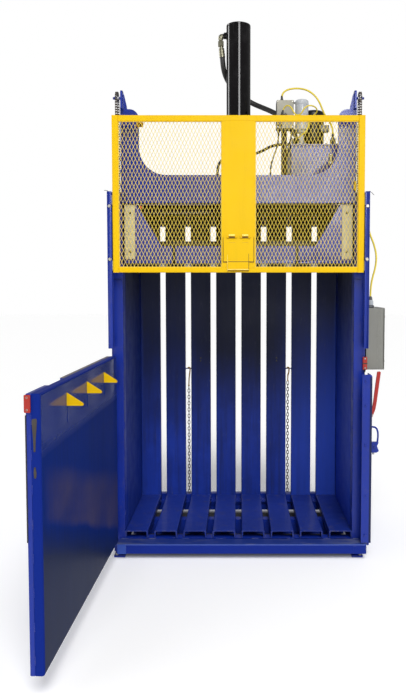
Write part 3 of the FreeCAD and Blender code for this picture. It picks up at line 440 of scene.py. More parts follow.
class Piece:
    """Gathers shapes, in millimetres, into one mesh object."""

    def __init__(self, name, mat):
        self.name = name
        self.mats = [mat]
        self.v, self.f, self.fm, self.fs = [], [], [], []
        self.xf = Matrix.Identity(4)

    def mi(self, mat):
        if mat is None:
            return 0
        if mat not in self.mats:
            self.mats.append(mat)
        return self.mats.index(mat)

    def add(self, verts, faces, mat=None, smooth=True, xf=None):
        base, k = len(self.v), self.mi(mat)
        m = self.xf if xf is None else self.xf @ xf
        self.v.extend([m @ Vector(p) for p in verts])
        for f in faces:
            self.f.append([base + i for i in f])
            self.fm.append(k)
            self.fs.append(smooth)

    def take(self, bm, mat=None, smooth=True, xf=None):
        bm.verts.ensure_lookup_table()
        bm.verts.index_update()
        self.add([v.co.copy() for v in bm.verts], [[v.index for v in f.verts] for f in bm.faces], mat, smooth, xf)
        bm.free()

    def box(self, x0, x1, y0, y1, z0, z1, r=0.0, seg=2, mat=None, xf=None):
        x0, x1 = sorted((x0, x1))
        y0, y1 = sorted((y0, y1))
        z0, z1 = sorted((z0, z1))
        bm = bmesh.new()
        bmesh.ops.create_cube(bm, size=1.0)
        for v in bm.verts:
            v.co = Vector(((x0 + x1) / 2 + v.co.x * (x1 - x0), (y0 + y1) / 2 + v.co.y * (y1 - y0),
                           (z0 + z1) / 2 + v.co.z * (z1 - z0)))
        if r:
            bmesh.ops.bevel(bm, geom=bm.edges[:], offset=r, segments=seg, affect="EDGES", profile=0.5)
        self.take(bm, mat, True, xf)

    def cyl(self, p0, p1, r, n=32, r2=None, bev=0.0, mat=None, xf=None, caps=True):
        p0, p1 = Vector(p0), Vector(p1)
        a, u, w = frame_of(p1 - p0)
        h = (p1 - p0).length
        r2 = r if r2 is None else r2
        rings = [(0, r), (h, r2)]
        if bev:
            b = min(bev, h / 2.2, r * 0.9)
            rings = [(0, r - b), (b * 0.3, r - b * 0.3), (b, r), (h - b, r2), (h - b * 0.3, r2 - b * 0.3), (h, r2 - b)]
        vs, fs = [], []
        for t, rr in rings:
            for k in range(n):
                g = 2 * math.pi * k / n
                vs.append(p0 + a * t + (u * math.cos(g) + w * math.sin(g)) * rr)
        for i in range(len(rings) - 1):
            for k in range(n):
                k2 = (k + 1) % n
                fs.append([i * n + k, i * n + k2, (i + 1) * n + k2, (i + 1) * n + k])
        if caps:
            fs.append(list(range(n))[::-1])
            fs.append([(len(rings) - 1) * n + k for k in range(n)])
        self.add(vs, fs, mat, True, xf)

    def lathe(self, p0, axis, prof, n=48, mat=None, xf=None, close=False):
        """Profile of (distance along, radius) pairs turned about an axis."""
        p0 = Vector(p0)
        a, u, w = frame_of(axis)
        vs, fs = [], []
        for t, rr in prof:
            for k in range(n):
                g = 2 * math.pi * k / n
                vs.append(p0 + a * t + (u * math.cos(g) + w * math.sin(g)) * rr)
        m = len(prof)
        for i in range(m - (0 if close else 1)):
            j = (i + 1) % m
            for k in range(n):
                k2 = (k + 1) % n
                fs.append([i * n + k, i * n + k2, j * n + k2, j * n + k])
        if not close:
            if prof[0][1] > 1e-6:
                fs.append(list(range(n))[::-1])
            if prof[-1][1] > 1e-6:
                fs.append([(m - 1) * n + k for k in range(n)])
        self.add(vs, fs, mat, True, xf)

    def prism(self, pts, axis, t0, t1, r=0.0, seg=2, mat=None, xf=None):
        def P(a, b, t):
            return Vector((t, a, b)) if axis == "x" else Vector((a, t, b)) if axis == "y" else Vector((a, b, t))
        bm = bmesh.new()
        lo = [bm.verts.new(P(a, b, t0)) for a, b in pts]
        hi = [bm.verts.new(P(a, b, t1)) for a, b in pts]
        n = len(pts)
        for i in range(n):
            bm.faces.new([lo[i], lo[(i + 1) % n], hi[(i + 1) % n], hi[i]])
        bm.faces.new(lo[::-1])
        bm.faces.new(hi)
        bmesh.ops.recalc_face_normals(bm, faces=bm.faces[:])
        if r:
            es = [e for e in bm.edges if len(e.link_faces) == 2 and e.calc_face_angle(0) > 0.5]
            bmesh.ops.bevel(bm, geom=es, offset=r, segments=seg, affect="EDGES", profile=0.5, clamp_overlap=True)
        self.take(bm, mat, True, xf)

    def loops(self, outer, inner, axis, t0, t1, mat=None, xf=None, lip=0.0):
        """Closed outline with a parallel inner outline of as many points, drawn along an axis: a hollow section."""
        def P(a, b, t):
            return Vector((t, a, b)) if axis == "x" else Vector((a, t, b)) if axis == "y" else Vector((a, b, t))
        n = len(outer)
        vs = [P(a, b, t) for t in (t0, t1) for L in (outer, inner) for a, b in L]
        fs = []
        for i in range(n):
            j = (i + 1) % n
            fs += [[i, j, 2 * n + j, 2 * n + i], [n + j, n + i, 3 * n + i, 3 * n + j],
                   [j, i, n + i, n + j], [2 * n + i, 2 * n + j, 3 * n + j, 3 * n + i]]
        self.add(vs, fs, mat, True, xf)

    def hollow(self, x0, x1, y0, y1, z0, z1, t, along, r=6.0, mat=None, xf=None, seg=4):
        """Rectangular hollow section with rolled corners."""
        if along == "x":
            a0, a1, b0, b1, t0, t1 = y0, y1, z0, z1, x0, x1
        elif along == "y":
            a0, a1, b0, b1, t0, t1 = x0, x1, z0, z1, y0, y1
        else:
            a0, a1, b0, b1, t0, t1 = x0, x1, y0, y1, z0, z1

        def rr(a0, a1, b0, b1, r):
            out = []
            for cx, cy, s in ((a1 - r, b1 - r, 0), (a0 + r, b1 - r, 90), (a0 + r, b0 + r, 180), (a1 - r, b0 + r, 270)):
                for k in range(seg + 1):
                    g = math.radians(s + 90 * k / seg)
                    out.append((cx + r * math.cos(g), cy + r * math.sin(g)))
            return out
        self.loops(rr(a0, a1, b0, b1, r), rr(a0 + t, a1 - t, b0 + t, b1 - t, max(0.6, r - t)), along, t0, t1, mat, xf)

    def sweep(self, pts, r, n=12, mat=None, xf=None, caps=True, radii=None):
        P = [Vector(p) for p in pts]
        T = []
        for i in range(len(P)):
            d = P[min(i + 1, len(P) - 1)] - P[max(i - 1, 0)]
            T.append(d.normalized())
        _, u, w = frame_of(T[0])
        vs, fs = [], []
        for i, p in enumerate(P):
            if i:
                q = T[i - 1].rotation_difference(T[i])
                u = q @ u
                w = q @ w
            rr = radii[i] if radii else r
            for k in range(n):
                g = 2 * math.pi * k / n
                vs.append(p + (u * math.cos(g) + w * math.sin(g)) * rr)
        for i in range(len(P) - 1):
            for k in range(n):
                k2 = (k + 1) % n
                fs.append([i * n + k, i * n + k2, (i + 1) * n + k2, (i + 1) * n + k])
        if caps:
            fs.append(list(range(n))[::-1])
            fs.append([(len(P) - 1) * n + k for k in range(n)])
        self.add(vs, fs, mat, True, xf)

    def ball(self, p, r, n=16, mat=None, xf=None, squash=(1, 1, 1)):
        vs, fs = [], []
        m = n // 2
        for i in range(1, m):
            th = math.pi * i / m
            for k in range(n):
                g = 2 * math.pi * k / n
                vs.append(Vector(p) + Vector((r * math.sin(th) * math.cos(g) * squash[0], r * math.sin(th) * math.sin(g) * squash[1],
                                              r * math.cos(th) * squash[2])))
        top, bot = len(vs), len(vs) + 1
        vs += [Vector(p) + Vector((0, 0, r * squash[2])), Vector(p) - Vector((0, 0, r * squash[2]))]
        for i in range(m - 2):
            for k in range(n):
                k2 = (k + 1) % n
                fs.append([i * n + k, (i + 1) * n + k, (i + 1) * n + k2, i * n + k2])
        for k in range(n):
            k2 = (k + 1) % n
            fs.append([top, k, k2])
            fs.append([bot, (m - 2) * n + k2, (m - 2) * n + k])
        self.add(vs, fs, mat, True, xf)

    def hexhead(self, p, axis, af, h, mat=None, washer=True, xf=None):
        p, a = Vector(p), Vector(axis).normalized()
        r = af / math.sqrt(3)
        base = 0.0
        if washer:
            self.cyl(p, p + a * 1.8, af * 0.62, 24, bev=0.5, mat=mat, xf=xf)
            base = 1.8
        _, u, w = frame_of(a)
        vs, fs = [], []
        for t, s in ((base, 1.0), (base + h * 0.86, 1.0), (base + h, 0.86)):
            for k in range(6):
                g = math.pi / 3 * k
                vs.append(p + a * t + (u * math.cos(g) + w * math.sin(g)) * r * s)
        for i in range(2):
            for k in range(6):
                k2 = (k + 1) % 6
                fs.append([i * 6 + k, i * 6 + k2, (i + 1) * 6 + k2, (i + 1) * 6 + k])
        fs.append([12 + k for k in range(6)])
        self.add(vs, fs, mat, False, xf)

    def weld(self, p0, p1, r=3.0, mat=None, xf=None, step=6.0):
        """A bead of overlapping ripples between two points."""
        p0, p1 = Vector(p0), Vector(p1)
        L = (p1 - p0).length
        n = max(3, int(L / step * 3))
        rnd = random.Random(int(L * 7 + p0.x * 3 + p0.z))
        pts, rad = [], []
        for i in range(n + 1):
            s = i / n
            ph = (s * L / step) % 1.0
            pts.append(p0.lerp(p1, s))
            rad.append(r * (0.80 + 0.22 * math.sin(math.pi * ph) + rnd.uniform(-0.05, 0.05)))
        self.sweep(pts, r, 8, mat, xf, True, rad)

    def out(self, body, replaces=(), slot=None, sharp=32):
        me = bpy.data.meshes.new(self.name)
        me.from_pydata([(p.x / 1000.0, p.y / 1000.0 - 0.4075, p.z / 1000.0) for p in self.v], [], self.f)
        for m in self.mats:
            me.materials.append(MATS[m])
        me.polygons.foreach_set("material_index", self.fm)
        me.polygons.foreach_set("use_smooth", self.fs)
        me.set_sharp_from_angle(angle=math.radians(sharp))
        me.update()
        o = bpy.data.objects.new(self.name, me)
        scene.collection.objects.link(o)
        if body:
            wn = o.modifiers.new("face_normals", "WEIGHTED_NORMAL")
            wn.weight = 90
            wn.keep_sharp = True
            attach(o, body)
        if replaces:
            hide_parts(*replaces)
        return o


def sym(fn):
    """Builds a shape on the right and its mirror image on the left."""
    fn(1)
    fn(-1)


# ================================================================ chamber
def channel_profile(w, d, web, fl, r=7.0, n=4):
    """Rolled channel, web uppermost: outer corners round, flanges a little tapered."""
    a = w / 2
    pts = []
    for k in range(n + 1):
        g = math.radians(180 - 90 * k / n)
        pts.append((-a + r + r * math.cos(g), -r + r * math.sin(g)))
    for k in range(n + 1):
        g = math.radians(90 - 90 * k / n)
        pts.append((a - r + r * math.cos(g), -r + r * math.sin(g)))
    pts += [(a, -d + 2), (a - 1.5, -d), (a - fl + 1.8, -d), (a - fl, -d + 3)]
    for k in range(n + 1):
        g = math.radians(0 + 90 * k / n)
        pts.append((a - fl - 1.5 - 7 + 7 * math.cos(g), -web - 7 + 7 * math.sin(g)))
    for k in range(n + 1):
        g = math.radians(90 + 90 * k / n)
        pts.append((-a + fl + 1.5 + 7 + 7 * math.cos(g), -web - 7 + 7 * math.sin(g)))
    pts += [(-a + fl, -d + 3), (-a + fl - 1.8, -d), (-a + 1.5, -d), (-a, -d + 2)]
    return pts


def chamber():
    fl = Piece("floor_channel_set", "blue_floor")
    bk = Piece("back_channel_set", "blue_wall")
    for i in range(8):
        cx = (i - 3.5) * 196.0
        prof = channel_profile(152, 50, 6, 7)
        fl.prism([(cx + x, 156 + z) for x, z in prof], "y", 4, 815)
        bk.prism([(cx + x, 815 - z) for x, z in prof], "z", 106, 2412)
        # plug welds where each channel crosses its bearer
        for y in (40, 407, 790):
            for s in (-1, 1):
                fl.weld((cx + s * 77, y - 16, 108), (cx + s * 77, y + 16, 108), 3.2)
        for s in (-1, 1):
            bk.weld((cx + s * 77, 812.5, 157), (cx + s * 60, 812.5, 157.5), 2.4)
    for sx in (-1, 1):
        for z in (1216, 1238):
            bk.lathe((sx * 296, 815.4, z), (0, -1, 0), [(0, 6.5), (1.4, 6.2), (2.6, 4.4), (2.9, 0)], 18, "dark_steel")
    fl.out("machine", ["floor_channels"], "blue_paint")
    bk.out("machine", ["back_channels"], "blue_paint")

    w = Piece("front_post_set", "blue_paint")
    for s in (-1, 1):
        w.hollow(min(s * 762, s * 838), max(s * 762, s * 838), 10, 100, 12, 2412, 6, "z", 7)
        # the thicker face plate up to the feed opening, its weld seams and the plate's top edge
        w.box(s * 762, s * 838, 0, 10, 38, 1838, 2.2, 3)
        for z0 in range(60, 1800, 196):
            w.weld((s * 839.2, 10, z0), (s * 839.2, 10, z0 + 52), 2.6)
            w.weld((s * 760.8, 10, z0), (s * 760.8, 10, z0 + 52), 2.2)
        w.weld((s * 768, 4, 1839), (s * 832, 4, 1839), 2.6)
    w.out("machine", ["front_posts"], "blue_paint")

    sl = Piece("sill_set", "blue_sill")
    sl.hollow(-800, 840, -108, 0, 38, 104, 5, "x", 8)
    for x in (-800, 840):
        s = -1 if x < 0 else 1
        sl.box(x - s * 1, x - s * 5, -104, -4, 42, 100, 1.5)
        sl.weld((x - s * 0.5, -100, 44), (x - s * 0.5, -100, 98), 2.2)
    # patch plates over the ends of the sill, above the feet
    sl.box(-796, -740, -110.2, -107, 39, 103, 1.2, 2, mat="dusty_blue")
    sl.box(756, 836, -109.4, -107, 40, 92, 0.8, 2, mat="blue_sill")
    for x0 in (-786, -600, -380, -150, 90, 330, 570, 770):
        sl.weld((x0, -1.5, 104.2), (x0 + 44, -1.5, 104.2), 3.0)
    sl.out("machine", ["sill"], "blue_paint")

    # head plate: small things that show through the mesh
    h = Piece("head_trim", "blue_paint")
    h.box(-662, -618, -9, -2, 2827, 2858, 1.5, mat="amber_bracket")
    h.hexhead((-640, -9, 2842), (0, -1, 0), 13, 6, "dark_steel")
    h.box(752, 766, -24, -2, 2418, 2478, 2, mat="yellow_paint")
    for s in (-1, 1):
        for z in (2372, 2440, 2520, 2610, 2700):
            h.weld((s * 769, 4, z), (s * 769, 4, z + 34), 2.6)
        for z in (2366, 2398):
            h.hexhead((s * 740, -2, z), (0, -1, 0), 17, 8)
    for x0 in range(-700, 700, 175):
        h.weld((x0, 3.5, 2338.8), (x0 + 46, 3.5, 2338.8), 2.6)
    h.out("machine", (), "blue_paint")


MATS["blue_floor"] = paint("blue_floor_paint", (0.0110, 0.0310, 0.250), rough=0.42, coat=0.15, dark=0.6, streak=0.2, dirt=0.55,
                           wear=0.9, wear_col=[0.25, 0.23, 0.20], waves=0.15)
MATS["amber_bracket"] = paint("amber_bracket_paint", (0.52, 0.26, 0.006), rough=0.5, coat=0.0, dark=0.6, streak=0.3, dirt=0.4, waves=0.0)
MATS["orange_cap"] = soft_plastic("orange_cap_plastic", srgb("d8642a"), 0.4)


def sill_paint():
    """Sill paint: worn to grey-beige on the top near both ends, where the door and the pallets scrape it."""
    m = Mat("blue_sill_paint", [c * 0.76 for c in BLUE], rough=0.36, coat=0.0, spec=0.12)
    m.mix_color(m.math("MULTIPLY", m.ramp(m.noise(2.2, 3, 0.5), 0.35, 0.75), 0.5), [c * 0.7 for c in BLUE])
    top = m.ramp(m.axis(2), 0.100, 0.1035)
    ends = m.ramp(m.math("ABSOLUTE", m.axis(0)), 0.52, 0.74)
    scr = m.ramp(m.noise(26, 8, 0.7, stretch=(0.35, 1, 1)), 0.42, 0.60)
    mask = m.math("MULTIPLY", m.math("MULTIPLY", top, ends), scr)
    m.mix_color(m.math("MULTIPLY", mask, 0.62), srgb("7c7f8c"))
    # painted highlight: a lighter blue band along the rolled front top edge
    lip = m.math("MULTIPLY", m.ramp(m.axis(1), -0.5060, -0.5120), m.ramp(m.axis(2), 0.094, 0.100))
    m.mix_color(m.math("MULTIPLY", lip, 0.55), (0.075, 0.125, 0.400))
    m.mix_color(m.math("MULTIPLY", top, 0.35), (0.040, 0.070, 0.210))
    mid = m.math("MULTIPLY", top, m.ramp(m.noise(18, 8, 0.7, stretch=(0.3, 1, 1)), 0.55, 0.70))
    m.mix_color(m.math("MULTIPLY", mid, 0.4), srgb("7d7d86"))
    w = m.math("MULTIPLY", edge_wear(m), 0.7)
    m.mix_color(w, [0.22, 0.21, 0.20])
    m.bump(m.noise(420, 2, 0.5), 0.1, 0.0004)
    m.bump(m.noise(30, 6, 0.7), 0.15, 0.002)
    return m.done()


MATS["blue_sill"] = sill_paint()
MATS["dusty_blue"] = paint("dusty_blue_paint", (0.020, 0.060, 0.330), rough=0.5, coat=0.0, dark=0.6, streak=0.3, dirt=0.75,
                           dirt_col=(0.10, 0.14, 0.26), wear=0.5, wear_col=[0.30, 0.32, 0.36], waves=0.05)
chamber()
for n in ("base_frame", "rear_frame", "side_walls", "head_beams", "gate_guides", "oil_tank"):
    soften(n, 1.6, 2)
for n in ("door_hinges", "latch_hinges", "latch_bar", "sprocket_brackets", "head_front_plate"):
    soften(n, 1.0, 2)


# ================================================================ door
DM = Matrix.Translation((-830, -40, 0)) @ Matrix.Rotation(math.radians(-91.5), 4, "Z")
DOG_U = (404.0, 819.0, 1216.0)


def pan_section(u0, u1, z0, z1, v_in, v_out, r, t, n=5):
    pass


def door():
    p = Piece("door_shell", "blue_door")
    p.xf = DM
    U0, U1, V0, V1, Z0, Z1, R = 28.0, 1630.0, -4.0, 36.0, 110.0, 1342.0, 11.0
    # formed skin: rings from the open back edge round the rolled corner to the face
    def ring(inset, v, rad):
        out = []
        for cu, cz, s in ((U1 - inset - rad, Z1 - inset - rad, 0), (U0 + inset + rad, Z1 - inset - rad, 90),
                          (U0 + inset + rad, Z0 + inset + rad, 180), (U1 - inset - rad, Z0 + inset + rad, 270)):
            for k in range(5):
                g = math.radians(s + 90 * k / 4)
                out.append(Vector((cu + rad * math.cos(g), v, cz + rad * math.sin(g))))
        return out
    rings = [ring(6, V0, 2.0), ring(0, V0, 6.0)]
    for k in range(6):
        g = math.radians(90 * k / 5)
        rings.append(ring(R - R * math.cos(g), V1 - R + R * math.sin(g), max(2.0, 6.0 - 4 * k / 5)))
    n = len(rings[0])
    vs = [v for r_ in rings for v in r_]
    fs = []
    for i in range(len(rings) - 1):
        for k in range(n):
            k2 = (k + 1) % n
            fs.append([i * n + k, (i + 1) * n + k, (i + 1) * n + k2, i * n + k2])
    inner = [ring(6, V0, 2.0), ring(6, V1 - 6, 2.0)]
    b = len(vs)
    vs += inner[0] + inner[1]
    for k in range(n):
        k2 = (k + 1) % n
        fs.append([b + k, b + k2, b + n + k2, b + n + k])
    fs.append([b + n + k for k in range(n)])
    p.add(vs, fs)
    # the face is cut into strips that leave the three dog slots open
    last = (len(rings) - 1) * n
    edge = [vs[last + k] for k in range(n)]
    us = sorted({U0 + R, U1 - R} | {u + s * 7 for u in DOG_U for s in (-1, 1)})
    zs = [Z0 + R, 1140.0, 1288.0, Z1 - R]
    bm = bmesh.new()
    grid = {}
    allu = sorted(set(us))
    for u in allu:
        for z in zs:
            grid[u, z] = bm.verts.new((u, V1, z))
    for i in range(len(allu) - 1):
        for j in range(3):
            if j == 1 and any(abs((allu[i] + allu[i + 1]) / 2 - u) < 3 for u in DOG_U):
                continue
            bm.faces.new([grid[allu[i], zs[j]], grid[allu[i], zs[j + 1]], grid[allu[i + 1], zs[j + 1]], grid[allu[i + 1], zs[j]]])
    p.take(bm)
    for u in DOG_U:
        for s in (-1, 1):
            p.add([(u + s * 7, V1, 1140), (u + s * 7, V1, 1288), (u + s * 7, V1 - 6, 1288), (u + s * 7, V1 - 6, 1140)], [[0, 1, 2, 3]])
        for z in (1140, 1288):
            p.add([(u - 7, V1, z), (u + 7, V1, z), (u + 7, V1 - 6, z), (u - 7, V1 - 6, z)], [[0, 1, 2, 3]])
    p.out("door", ["door_skin"], "blue_paint")

    q = Piece("door_frame_set", "blue_paint")
    q.xf = DM
    # outer frame: free-end upright, hinge upright, top members and the three rails
    q.box(1560, 1630, -28, -4, 110, 1282, 5, 3)
    q.box(1371, 1630, -28, -4, 1282, 1342, 5, 3)
    q.box(38, 1112, -28, -4, 1282, 1342, 3, 2, mat="worn_top")
    q.box(38, 98, -28, -4, 110, 1282, 3, 2)
    for z0 in (110, 470, 850):
        q.hollow(98, 1560, -28, -4, z0, z0 + 60, 4, "x", 5)
        for u in range(150, 1500, 190):
            q.weld((u, -4.5, z0 + 61), (u + 45, -4.5, z0 + 61), 2.6)
            q.weld((u, -4.5, z0 - 1), (u + 45, -4.5, z0 - 1), 2.6)
        for u in (99, 1559):
            q.weld((u, -29, z0 + 6), (u, -29, z0 + 54), 2.6)
    for u in DOG_U:
        for s in (-1, 1):
            q.box(u + s * 8, u + s * 14, 4, 30, 1252, 1284, 1.0)
        q.cyl((u - 16, 18, 1268), (u + 16, 18, 1268), 5, 20, bev=1, mat="bare_steel")
        # torsion spring on the dog's pin
        co = []
        for k in range(60):
            g = k / 59 * 2 * math.pi * 3.2
            co.append((u + 15 + k / 59 * 9, 18 + 8.5 * math.cos(g), 1268 + 8.5 * math.sin(g)))
        q.sweep(co, 1.3, 6, mat="bare_steel")
    for z in (200, 690, 1180):
        q.cyl((0, 0, z), (0, 0, z + 60), 18, 36, bev=1.2)
        q.box(12, 32, -12, 12, z, z + 60, 1.5)
        for zz in (z + 2, z + 58):
            q.weld((20, -13, zz), (20, 13, zz), 2.5)
    # free end: wear wedges of bare steel, a dark seal and the weld along the corner
    # two keeps let into the free end, for the latch: dark with rubbed-in grease
    q.prism([(-2, 1226), (1, 1234), (18, 1236), (21, 1228), (19, 1196), (15, 1150), (13, 1094), (5, 1092), (3, 1146), (0, 1190)], "x",
            1629.2, 1631.6, 0.6, mat="greasy_steel")
    q.prism([(5, 1026), (12, 1028), (16, 1004), (15, 984), (11, 978), (5, 980), (3, 1004)], "x", 1629.2, 1631.6, 0.6, mat="greasy_steel")
    q.box(1629.5, 1632.5, -30, -24, 700, 1250, 1.0, mat="black_plastic")
    for z0 in range(160, 1300, 150):
        q.weld((1630.6, -3.5, z0), (1630.6, -3.5, z0 + 40), 2.2)
    q.box(118, 132, 35.6, 37.2, 1200, 1246, 0.6, mat="dark_steel")
    q.out("door", ["door_panel"], "blue_paint")

    k = Piece("door_keeper", "red_plastic")
    k.xf = DM
    k.box(1630, 1640.5, -32, -4, 1261, 1338, 4.0, 4)
    for z in (1326, 1274):
        k.lathe((1640.4, -18, z), (1, 0, 0), [(0, 4.6), (0.6, 4.4), (0.6, 2.6), (-0.4, 2.2), (-0.4, 0)], 18, "plated_fittings")
    k.out("door", ["interlock_magnet"], "red_plastic")

    for i, u in enumerate(DOG_U):
        d = Piece("door_dog_%d_plate" % (i + 1), "yellow_paint")
        d.xf = DM
        d.prism([(9, 1259), (9, 1280), (36, 1283), (108, 1237), (114, 1232), (116, 1227), (114, 1222), (110, 1220), (20, 1220), (9, 1236)],
                "x", u - 4, u + 4, 1.0)
        d.cyl((u - 6.5, 18, 1268), (u + 6.5, 18, 1268), 9, 24, bev=0.8)
        d.out("dog_%d" % (i + 1), ["door_dog_%d" % (i + 1)], "yellow_paint")


def door_paint():
    """Door paint: streaked down the sheet, darker low down, with a pale haze across the inner face that is a painted
    reflection.
    """
    base = (0.0065, 0.0240, 0.180)
    m = Mat("blue_door_paint", base, rough=0.36, coat=0.0, spec=0.012)
    m.mix_color(m.math("MULTIPLY", m.ramp(m.noise(1.6, 3, 0.5), 0.35, 0.75), 0.45), [c * 0.62 for c in base])
    runs = m.ramp(m.noise(7.0, 6, 0.6, stretch=(7, 7, 0.22)), 0.46, 0.76)
    m.mix_color(m.math("MULTIPLY", runs, 0.45), (0.010, 0.016, 0.060))
    # along the sheet: 0 at the hinge, 1 at the free end
    s_ = m.ramp(m.axis(1), -0.4475, -2.0775)
    z = m.axis(2)
    q = m.math("SUBTRACT", m.math("SUBTRACT", m.axis(0), m.math("MULTIPLY", m.axis(1), 0.0262)), 0.01172)
    face = m.math("MULTIPLY", m.math("MULTIPLY", m.ramp(q, -0.8045, -0.7965), m.ramp(s_, 0.9965, 0.9925)), m.ramp(z, 1.3385, 1.3325))
    lo = m.math("ADD", 0.17, m.math("MULTIPLY", s_, 0.61))
    hi = m.math("ADD", 0.52, m.math("MULTIPLY", s_, 0.47))
    wob = m.math("MULTIPLY", m.noise(3.0, 4, 0.6), 0.10)
    zz = m.math("ADD", m.math("SUBTRACT", z, 0.05), wob)
    up = m.ramp(m.math("SUBTRACT", zz, lo), 0.0, 0.045)
    dn = m.ramp(m.math("SUBTRACT", hi, zz), -0.06, 0.05)
    side = m.math("MULTIPLY", m.ramp(s_, 0.985, 0.86), m.ramp(s_, 0.0, 0.04))
    # painted reflection: a patchy pale pinkish haze between two slanting lines across the inner face
    smear = m.math("MULTIPLY", m.math("MULTIPLY", up, dn), m.math("MULTIPLY", side, face))
    patch = m.ramp(m.noise(2.8, 4, 0.55, stretch=(1, 1, 1.6)), 0.24, 0.74)
    m.mix_color(m.math("MULTIPLY", m.math("MULTIPLY", smear, patch), 0.52), (0.105, 0.082, 0.110))
    m.mix_color(m.math("MULTIPLY", smear, 0.22), (0.058, 0.048, 0.078))
    # below the haze the face is nearly black-blue
    below = m.math("MULTIPLY", m.ramp(m.math("SUBTRACT", lo, zz), -0.02, 0.14), face)
    m.mix_color(m.math("MULTIPLY", below, 0.82), (0.0110, 0.0170, 0.038))
    scr = m.ramp(m.noise(40, 8, 0.75, stretch=(1, 0.16, 3.5)), 0.62, 0.71)
    m.mix_color(m.math("MULTIPLY", scr, 0.14), (0.10, 0.115, 0.20))
    m.mix_rough(m.math("MULTIPLY", m.ramp(m.noise(6, 6, 0.65, stretch=(2, 2, 0.6)), 0.35, 0.75), 0.45), 0.40)
    # the cleaner band near the top is still glossy enough to mirror the wedges
    gl = m.math("MULTIPLY", m.ramp(z, 1.06, 1.15), face)
    m.link(m.math("ADD", m.math("MULTIPLY", gl, 0.27), 0.014), m.b.inputs["Specular IOR Level"])
    m.mix_rough(gl, 0.13)
    edge = m.math("SUBTRACT", 1.0, face)
    m.mix_color(m.math("MULTIPLY", edge, 0.92), [BLUE[0] * 1.5, BLUE[1] * 0.86, BLUE[2] * 0.72])
    w = m.math("MULTIPLY", edge_wear(m), 0.35)
    m.mix_color(w, [0.12, 0.13, 0.17])
    m.mix_rough(w, 0.5)
    m.bump(m.noise(420, 2, 0.5), 0.08, 0.0004)
    m.bump(m.noise(2.6, 2, 0.4, stretch=(1, 1, 0.4)), 0.22, 0.012)
    return m.done()


MATS["greasy_steel"] = plain_metal("greasy_rubbed_steel", (0.060, 0.052, 0.048), 0.5, grime=0.7, dark=(0.030, 0.018, 0.008), metal=0.4)
MATS["blue_door"] = door_paint()


def worn_top_paint():
    """Door's top rail: blue on its sides, rubbed to grey primer on its upper face."""
    m = Mat("worn_primer_edge", [c * 0.9 for c in BLUE], rough=0.45, coat=0.0, spec=0.2)
    m.mix_color(m.math("MULTIPLY", m.ramp(m.noise(2.6, 3, 0.5), 0.35, 0.75), 0.4), [c * 0.66 for c in BLUE])
    top = m.ramp(m.axis(2), 1.3384, 1.3404)
    m.mix_color(top, srgb("6f6a68"))
    left = m.math("MULTIPLY", top, m.ramp(m.noise(22, 7, 0.65, stretch=(1, 0.4, 1)), 0.56, 0.66))
    m.mix_color(m.math("MULTIPLY", left, 0.8), [c * 0.8 for c in BLUE])
    m.mix_color(m.math("MULTIPLY", edge_wear(m), 0.5), [0.20, 0.19, 0.18])
    m.bump(m.noise(420, 2, 0.5), 0.10, 0.0004)
    return m.done()


MATS["worn_top"] = worn_top_paint()
door()


